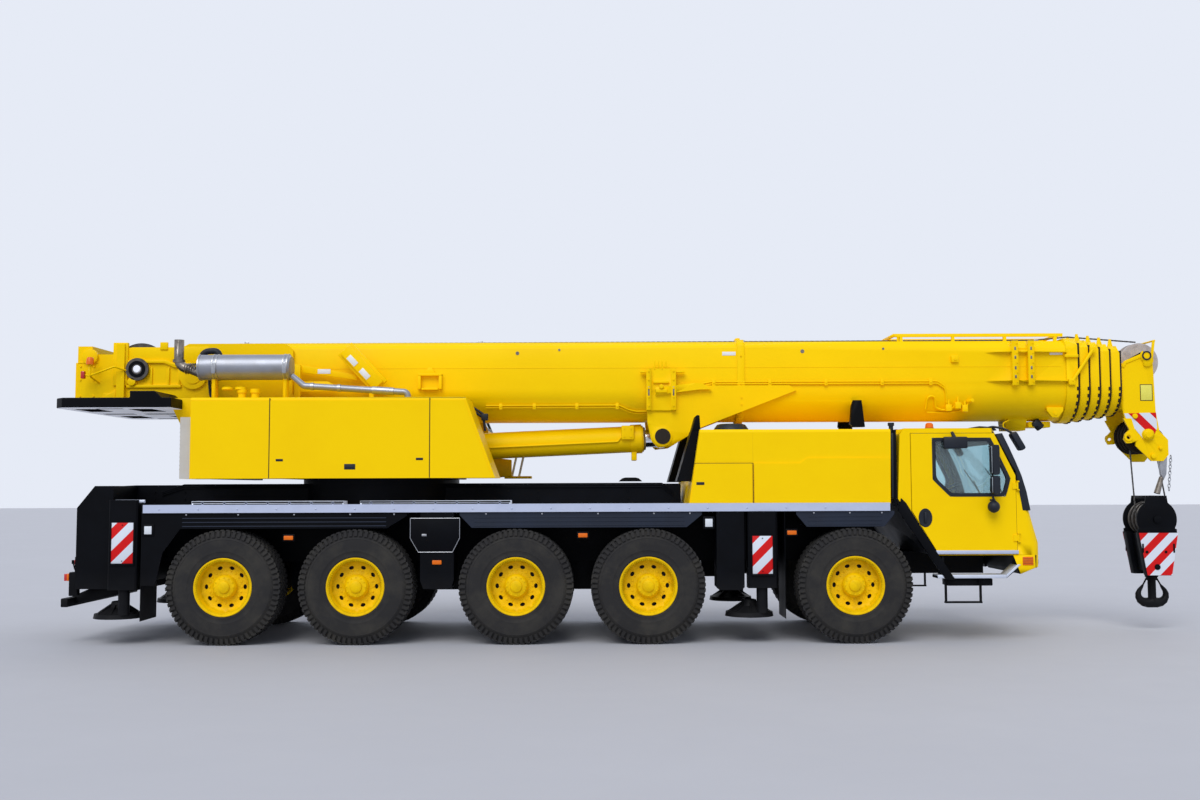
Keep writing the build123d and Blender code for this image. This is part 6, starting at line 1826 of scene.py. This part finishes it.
    def gallery(self) -> None:
        """Lay the hoist rope over rollers along the boom's top: one length rides to the head."""
        for name, body, route in (
                ("rope_on_boom", self.body, ((-6.30, 3.835), (-5.35, 3.928), (-2.0, 3.932))),
                ("rope_to_head", "section_5",
                 ((-2.0, 3.932), (5.60, 3.948), (6.06, 3.990), (7.00, 3.915)))):
            rope = Shape()
            for (rear, low), (front, high) in zip(route, route[1:]):
                rope.rope((rear, 0.0, low), (front, 0.0, high), ROPE_R)
            rope.piece(name, body, WIRE)
        rollers = Shape()
        for x in (-5.2, -2.0, 1.58, 3.75, 5.6):
            rollers.rod((x, -0.09, 3.924), (x, 0.09, 3.924), 0.018)
            for y in (-0.10, 0.10):
                rollers.box((x - 0.03, y - 0.006, 3.895), (x + 0.03, y + 0.006, 3.95), 0.003)
        rollers.piece("rope_rollers", self.body, ZINC)
        rails = Shape()
        for y in (-0.305, 0.305):
            rails.prism([(3.52, 3.965), (3.60, 4.003), (3.70, 4.003), (3.70, 3.965)],
                        y - 0.014, y + 0.014, bevel=0.003)
            rails.rod((3.66, y, 3.90), (3.66, y, 3.97), 0.016)
        rails.piece("gallery_ends", self.body, YELLOW)

    def underside(self) -> None:
        """Hang the camera, roller and lifting lug below the tube's front end."""
        lug, camera, hook = Shape(), Shape(), Shape()
        lug.prism([(5.62, 3.00), (5.84, 3.00), (5.84, 2.95), (5.77, 2.86), (5.69, 2.86),
                   (5.62, 2.95)], -0.385, -0.335, bevel=0.006)
        lug.rod((5.73, -0.395, 2.915), (5.73, -0.33, 2.915), 0.022)
        lug.piece("lifting_lug", self.body, YELLOW)
        camera.rod((5.53, -0.13, 2.83), (5.62, -0.13, 2.73), 0.060, bevel=0.010)
        camera.box((5.50, -0.19, 2.75), (5.60, -0.07, 2.82), 0.014)
        camera.piece("boom_camera", self.body, PLASTIC)
        hook.pipe([(5.16, -0.16, 2.70), (5.10, -0.16, 2.74), (5.10, -0.16, 2.80),
                   (5.18, -0.16, 2.84)], 0.010, 0.03)
        hook.box((5.45, -0.14, 2.74), (5.75, 0.14, 2.82), 0.012)
        hook.piece("underside_bracket", self.body, YELLOW)

    def collars_detail(self) -> None:
        """Set the wear pads' black keepers in the gaps round each collar's lower half, and line each
        gap with painted shade.
        """
        for number in range(self.collars):
            node = f"boom_section_{number}" if number else "boom_base"
            body = f"section_{number}" if number else self.body
            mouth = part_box(node)[1].x
            edge = mouth - self.groove
            radius = self.half - self.step * number + 0.024
            keepers, sleeve = Shape(), []
            for count in range(self.keepers):
                angle = math.radians(2 + self.keeper_deg * count)
                middle = Vector((edge, -radius * math.cos(angle),
                                 self.arc_z - radius * math.sin(angle)))
                keepers.box(middle - Vector((0.020, 0.014, 0.023)),
                            middle + Vector((0.012, 0.014, 0.023)), 0.002,
                            Matrix.Rotation(angle, 3, "X"))
            keepers.mirrored().piece(f"pad_keepers_{number}", body, SOOT_AND_SHADE)
            # A dark sleeve just inside each collar's mouth is painted shade in the open gap.
            reach = radius - 0.040
            top = self.top - self.step * number - 0.040
            sleeve.append((-reach, top))
            for count in range(25):
                angle = math.radians(7.5 * count)
                sleeve.append((-reach * math.cos(angle), self.arc_z - reach * math.sin(angle)))
            sleeve.append((reach, top))
            shade = Shape().prism(sleeve, edge - 0.004, mouth + 0.002, Axis.X)
            shade.piece(f"collar_gap_{number}", body, SOOT_AND_SHADE)

    def build(self) -> None:
        """Dress and fit out the boom up to its head."""
        self.dress_solids()
        self.seams()
        self.pipes()
        self.holes()
        self.holder()
        self.band()
        self.front_bracket()
        self.gallery()
        self.underside()
        self.collars_detail()


@dataclass
class Head:
    """Fittings of the boom's head, the rope's end and the hook block below it."""

    nodes: dict[str, bpy.types.Object]
    body: str = "section_5"
    face: float = 0.310
    links: int = 11               # of the safety chain
    fall_y: float = -0.110        # the falls that are drawn hang from the right-hand sheaves
    block_x: float = 7.110        # middle of the hook block
    sheave_z: float = 1.495       # axle of its sheaves

    def plates(self) -> None:
        """Fix striped sheets and a blank plate on the head's sides."""
        stripes, label, bolts = Shape(), Shape(), Shape()
        sheet = [(6.682, 2.916), (7.110, 2.926), (7.118, 2.72), (7.05, 2.565), (6.93, 2.570),
                 (6.70, 2.86)]
        stripes.prism(sheet, -self.face - 0.005, -self.face)
        stripes.mirrored().piece("head_stripes", self.body, HEAD_STRIPES)
        label.box((6.915, -self.face - 0.004, 3.095), (7.065, -self.face, 3.300), 0.001)
        label.mirrored().piece("head_plate", self.body, FOIL)
        border = Shape().box((6.906, -self.face - 0.002, 3.086), (7.074, -self.face, 3.309),
                             0.0005)
        border.mirrored().piece("head_plate_border", self.body, SOOT_AND_SHADE)
        for x, z, r in ((6.82, 2.88, 0.034), (7.05, 2.34, 0.034), (7.15, 2.45, 0.022)):
            bolts.rod((x, -self.face, z), (x, -self.face - 0.035, z), r, bevel=0.006)
        bolts.mirrored().piece("head_bosses", self.body, YELLOW)
        ring = Shape().turned([(0.044, -0.006), (0.062, -0.006), (0.062, 0.006), (0.044, 0.006)],
                              (6.995, -self.face - 0.042, 3.695), steps=32, closed=True)
        ring.mirrored().piece("sheave_pin_rings", self.body, PLASTIC)
        eyes = Shape()
        for y in (-self.face - 0.012, self.face + 0.012):
            eyes.turned([(0.030, -0.010), (0.056, -0.010), (0.056, 0.010), (0.030, 0.010)],
                        (6.725, y, 2.600), steps=32, closed=True)
        eyes.piece("jib_pin_eyes", self.body, YELLOW)
        nose = Shape()
        for y in (-0.150, -0.050, 0.050, 0.150):
            nose.turned([(0.045, -0.018), (0.205, -0.012), (0.232, -0.024), (0.238, -0.018),
                         (0.222, 0.0), (0.238, 0.018), (0.232, 0.024), (0.205, 0.012),
                         (0.045, 0.018)], (6.965, y, 2.612), steps=48, closed=True)
        nose.piece("nose_sheaves", self.body, SOOT_AND_SHADE)
        frame = Shape()
        frame.prism([(6.67, 3.55), (6.71, 3.63), (6.96, 3.735), (6.98, 3.69), (6.73, 3.59),
                     (6.70, 3.53)], -self.face - 0.012, -self.face, bevel=0.003)
        frame.prism([(7.06, 3.64), (7.09, 3.62), (7.13, 3.90), (7.10, 3.91)],
                    -self.face + 0.02, -self.face - 0.006, bevel=0.003)
        frame.rod((7.12, -self.face - 0.01, 3.90), (7.12, self.face + 0.01, 3.90), 0.012)
        frame.piece("head_flange", self.body, YELLOW)

    def rope_end(self) -> None:
        """Hang the wedge socket and the safety chain between head and block."""
        socket, wrap, chain = Shape(), Shape(), Shape()
        socket.prism([(7.16, 2.34), (7.28, 2.34), (7.26, 2.10), (7.22, 2.02), (7.18, 2.10)],
                     -0.235, -0.185, bevel=0.008)
        socket.rod((7.22, -0.26, 2.30), (7.22, -0.16, 2.30), 0.022)
        socket.piece("wedge_socket", "hoist_fall", ZINC)
        wrap.rod((7.20, -0.21, 2.06), (7.13, -0.21, 1.84), 0.030, 0.042)
        wrap.piece("rope_whipping", "hoist_fall", ELBOW)
        for number in range(self.links):
            x, z = 7.335 - 0.004 * number, 2.33 - 0.043 * number
            turn = Axis.Y if number % 2 else Axis.X
            link = Shape()
            link.turned([(0.017 + 0.005 * math.cos(a), 0.005 * math.sin(a))
                         for a in (0.0, 1.26, 2.51, 3.77, 5.03)], (0, 0, 0), turn, steps=12,
                        closed=True)
            bmesh.ops.scale(link.mesh, vec=(1, 1, 1.5), verts=link.mesh.verts)
            bmesh.ops.translate(link.mesh, vec=(x, -0.21, z), verts=link.mesh.verts)
            chain.joined(link)
        chain.piece("safety_chain", "hoist_fall", ZINC)

    def _cheek(self) -> list[tuple[float, float]]:
        """Outline of a cheek plate: a disc with a neck on top and shoulders below."""
        right = [(0.262, 1.300), (0.262, 1.362), (0.238, 1.372), (0.246, 1.395)]
        right += [(0.268 * math.cos(a), self.sheave_z + 0.268 * math.sin(a))
                  for a in map(math.radians, range(-20, 56, 5))]
        right += [(0.150, 1.730), (0.140, 1.811)]
        return ([(self.block_x + dx, z) for dx, z in right]
                + [(self.block_x - dx, z) for dx, z in reversed(right)])

    def block(self) -> None:
        """Build the block's cheeks, sheaves and striped weight plates, and its double hook."""
        x, half = self.block_x, 0.262
        cheeks = Shape()
        for inner in (0.206, -0.236):
            cheeks.prism(self._cheek(), inner, inner + 0.030, bevel=0.004)
        weight = [(x - 0.262, 1.318), (x + 0.262, 1.318), (x + 0.166, 0.746), (x - 0.166, 0.746)]
        for low, high in ((-half, -0.15), (0.15, half)):
            cheeks.prism(weight, low, high, bevel=0.005)
        cheeks.prism([(x - 0.19, 1.30), (x + 0.19, 1.30), (x + 0.12, 0.80), (x - 0.12, 0.80)],
                     -0.16, 0.16, bevel=0.005)
        cheeks.box((x - 0.135, -0.21, 1.770), (x - 0.095, 0.21, 1.812), 0.006)
        cheeks.box((x + 0.095, -0.21, 1.770), (x + 0.135, 0.21, 1.812), 0.006)
        for y in (-0.244, 0.244):
            cheeks.rod((x, y * 0.9, 1.490), (x, y * 1.06, 1.490), 0.052, sides=32, bevel=0.006)
        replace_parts(cheeks.piece("block_cheeks", "block", BLACK), "hook_block")
        sheaves, rims = Shape(), Shape()
        for y in (-0.110, 0.0, 0.110):
            sheaves.turned([(0.0, -0.014), (0.200, -0.014), (0.222, -0.024), (0.222, 0.024),
                            (0.200, 0.014), (0.0, 0.014)], (x, y, self.sheave_z), steps=56)
            for side in (-1, 1):
                rims.turned([(0.222, side * 0.024), (0.238, side * 0.024), (0.236, side * 0.016),
                             (0.216, side * 0.006)], (x, y, self.sheave_z), steps=56,
                            closed=True)
        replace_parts(sheaves.piece("block_sheaves", "block", SOOT_AND_SHADE), "hook_block")
        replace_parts(rims.piece("sheave_rims", "block", SHEAVE), "hook_block")
        sheet = [(x - 0.262, 1.314), (x + 0.262, 1.314), (x + 0.164, 0.750), (x - 0.164, 0.750)]
        stripes = Shape().prism(sheet, -half - 0.004, -half)
        stripes.mirrored().piece("block_stripes", "block", STRIPES)
        studs = Shape()
        for dx, z, r in ((-0.165, 1.06, 0.020), (0.09, 1.06, 0.018), (-0.03, 0.86, 0.040)):
            studs.rod((x + dx, -half + 0.01, z), (x + dx, -half - 0.012, z), r, bevel=0.003)
        for dx in (-0.215, 0.20):
            studs.box((x + dx - 0.012, -half - 0.010, 1.05), (x + dx + 0.012, -half, 1.17), 0.004)
        studs.mirrored().piece("block_studs", "block", BLACK)

    def hook(self) -> None:
        """Forge the double hook as bars that swell towards its saddle, with both latches."""
        x, forged, latches = self.block_x, Shape(), Shape()
        horn = [(0.0, 0.372, 0.074), (0.055, 0.366, 0.068), (0.110, 0.372, 0.060),
                (0.155, 0.398, 0.052), (0.182, 0.440, 0.044), (0.188, 0.486, 0.037),
                (0.172, 0.530, 0.030), (0.146, 0.566, 0.023), (0.126, 0.594, 0.016)]
        for hand in (-1, 1):
            places = [Vector((x + hand * dx, 0, z)) for dx, z, _ in horn]
            for (start, end), (_, _, thick), (_, _, thin) in zip(zip(places, places[1:]), horn,
                                                                 horn[1:]):
                forged.rod(start, end, thick, thin, sides=24)
                forged.ball(end, thin)
            latches.rod((x + hand * 0.130, 0, 0.585), (x + hand * 0.072, 0, 0.690), 0.011)
            latches.box((x + hand * 0.050 - 0.02, -0.03, 0.665),
                        (x + hand * 0.050 + 0.02, 0.03, 0.715), 0.008)
        forged.rod((x, 0, 0.40), (x, 0, 1.05), 0.053, sides=28)
        forged.rod((x, 0, 0.708), (x, 0, 0.742), 0.085, sides=28, bevel=0.008)
        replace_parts(forged.piece("double_hook", "crane_hook", BLACK), "hook")
        latches.piece("hook_latches", "crane_hook", BLACK)

    def falls(self) -> None:
        """Reeve one fall down to the block and one back up to the head."""
        lines, y = Shape(), self.fall_y
        lines.rope((6.818, y, 2.60), (6.880, y, 1.52), ROPE_R)
        lines.rope((7.150, y, 2.60), (7.315, y, 1.60), ROPE_R)
        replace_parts(lines.piece("hoist_lines", "hoist_fall", WIRE), "hoist_ropes")

    def build(self) -> None:
        """Dress and fit out the head and the block."""
        self.plates()
        self.rope_end()
        self.block()
        self.hook()
        self.falls()


def main() -> None:
    """Load the frame and build every sub-assembly around it."""
    logging.basicConfig(level=logging.INFO, format="%(name)s %(message)s")
    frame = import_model()
    nodes = frame["nodes"]
    Studio().build()
    Chassis(nodes).build()
    for number in range(1, 6):
        for side in Side:
            Wheel(number, side, nodes).build()
    for part in (EngineHood, DriverCab, Superstructure, Boom, Head):
        LOG.info("building %s", part.__name__)
        part(nodes).build()


if __name__ == "__main__":
    main()
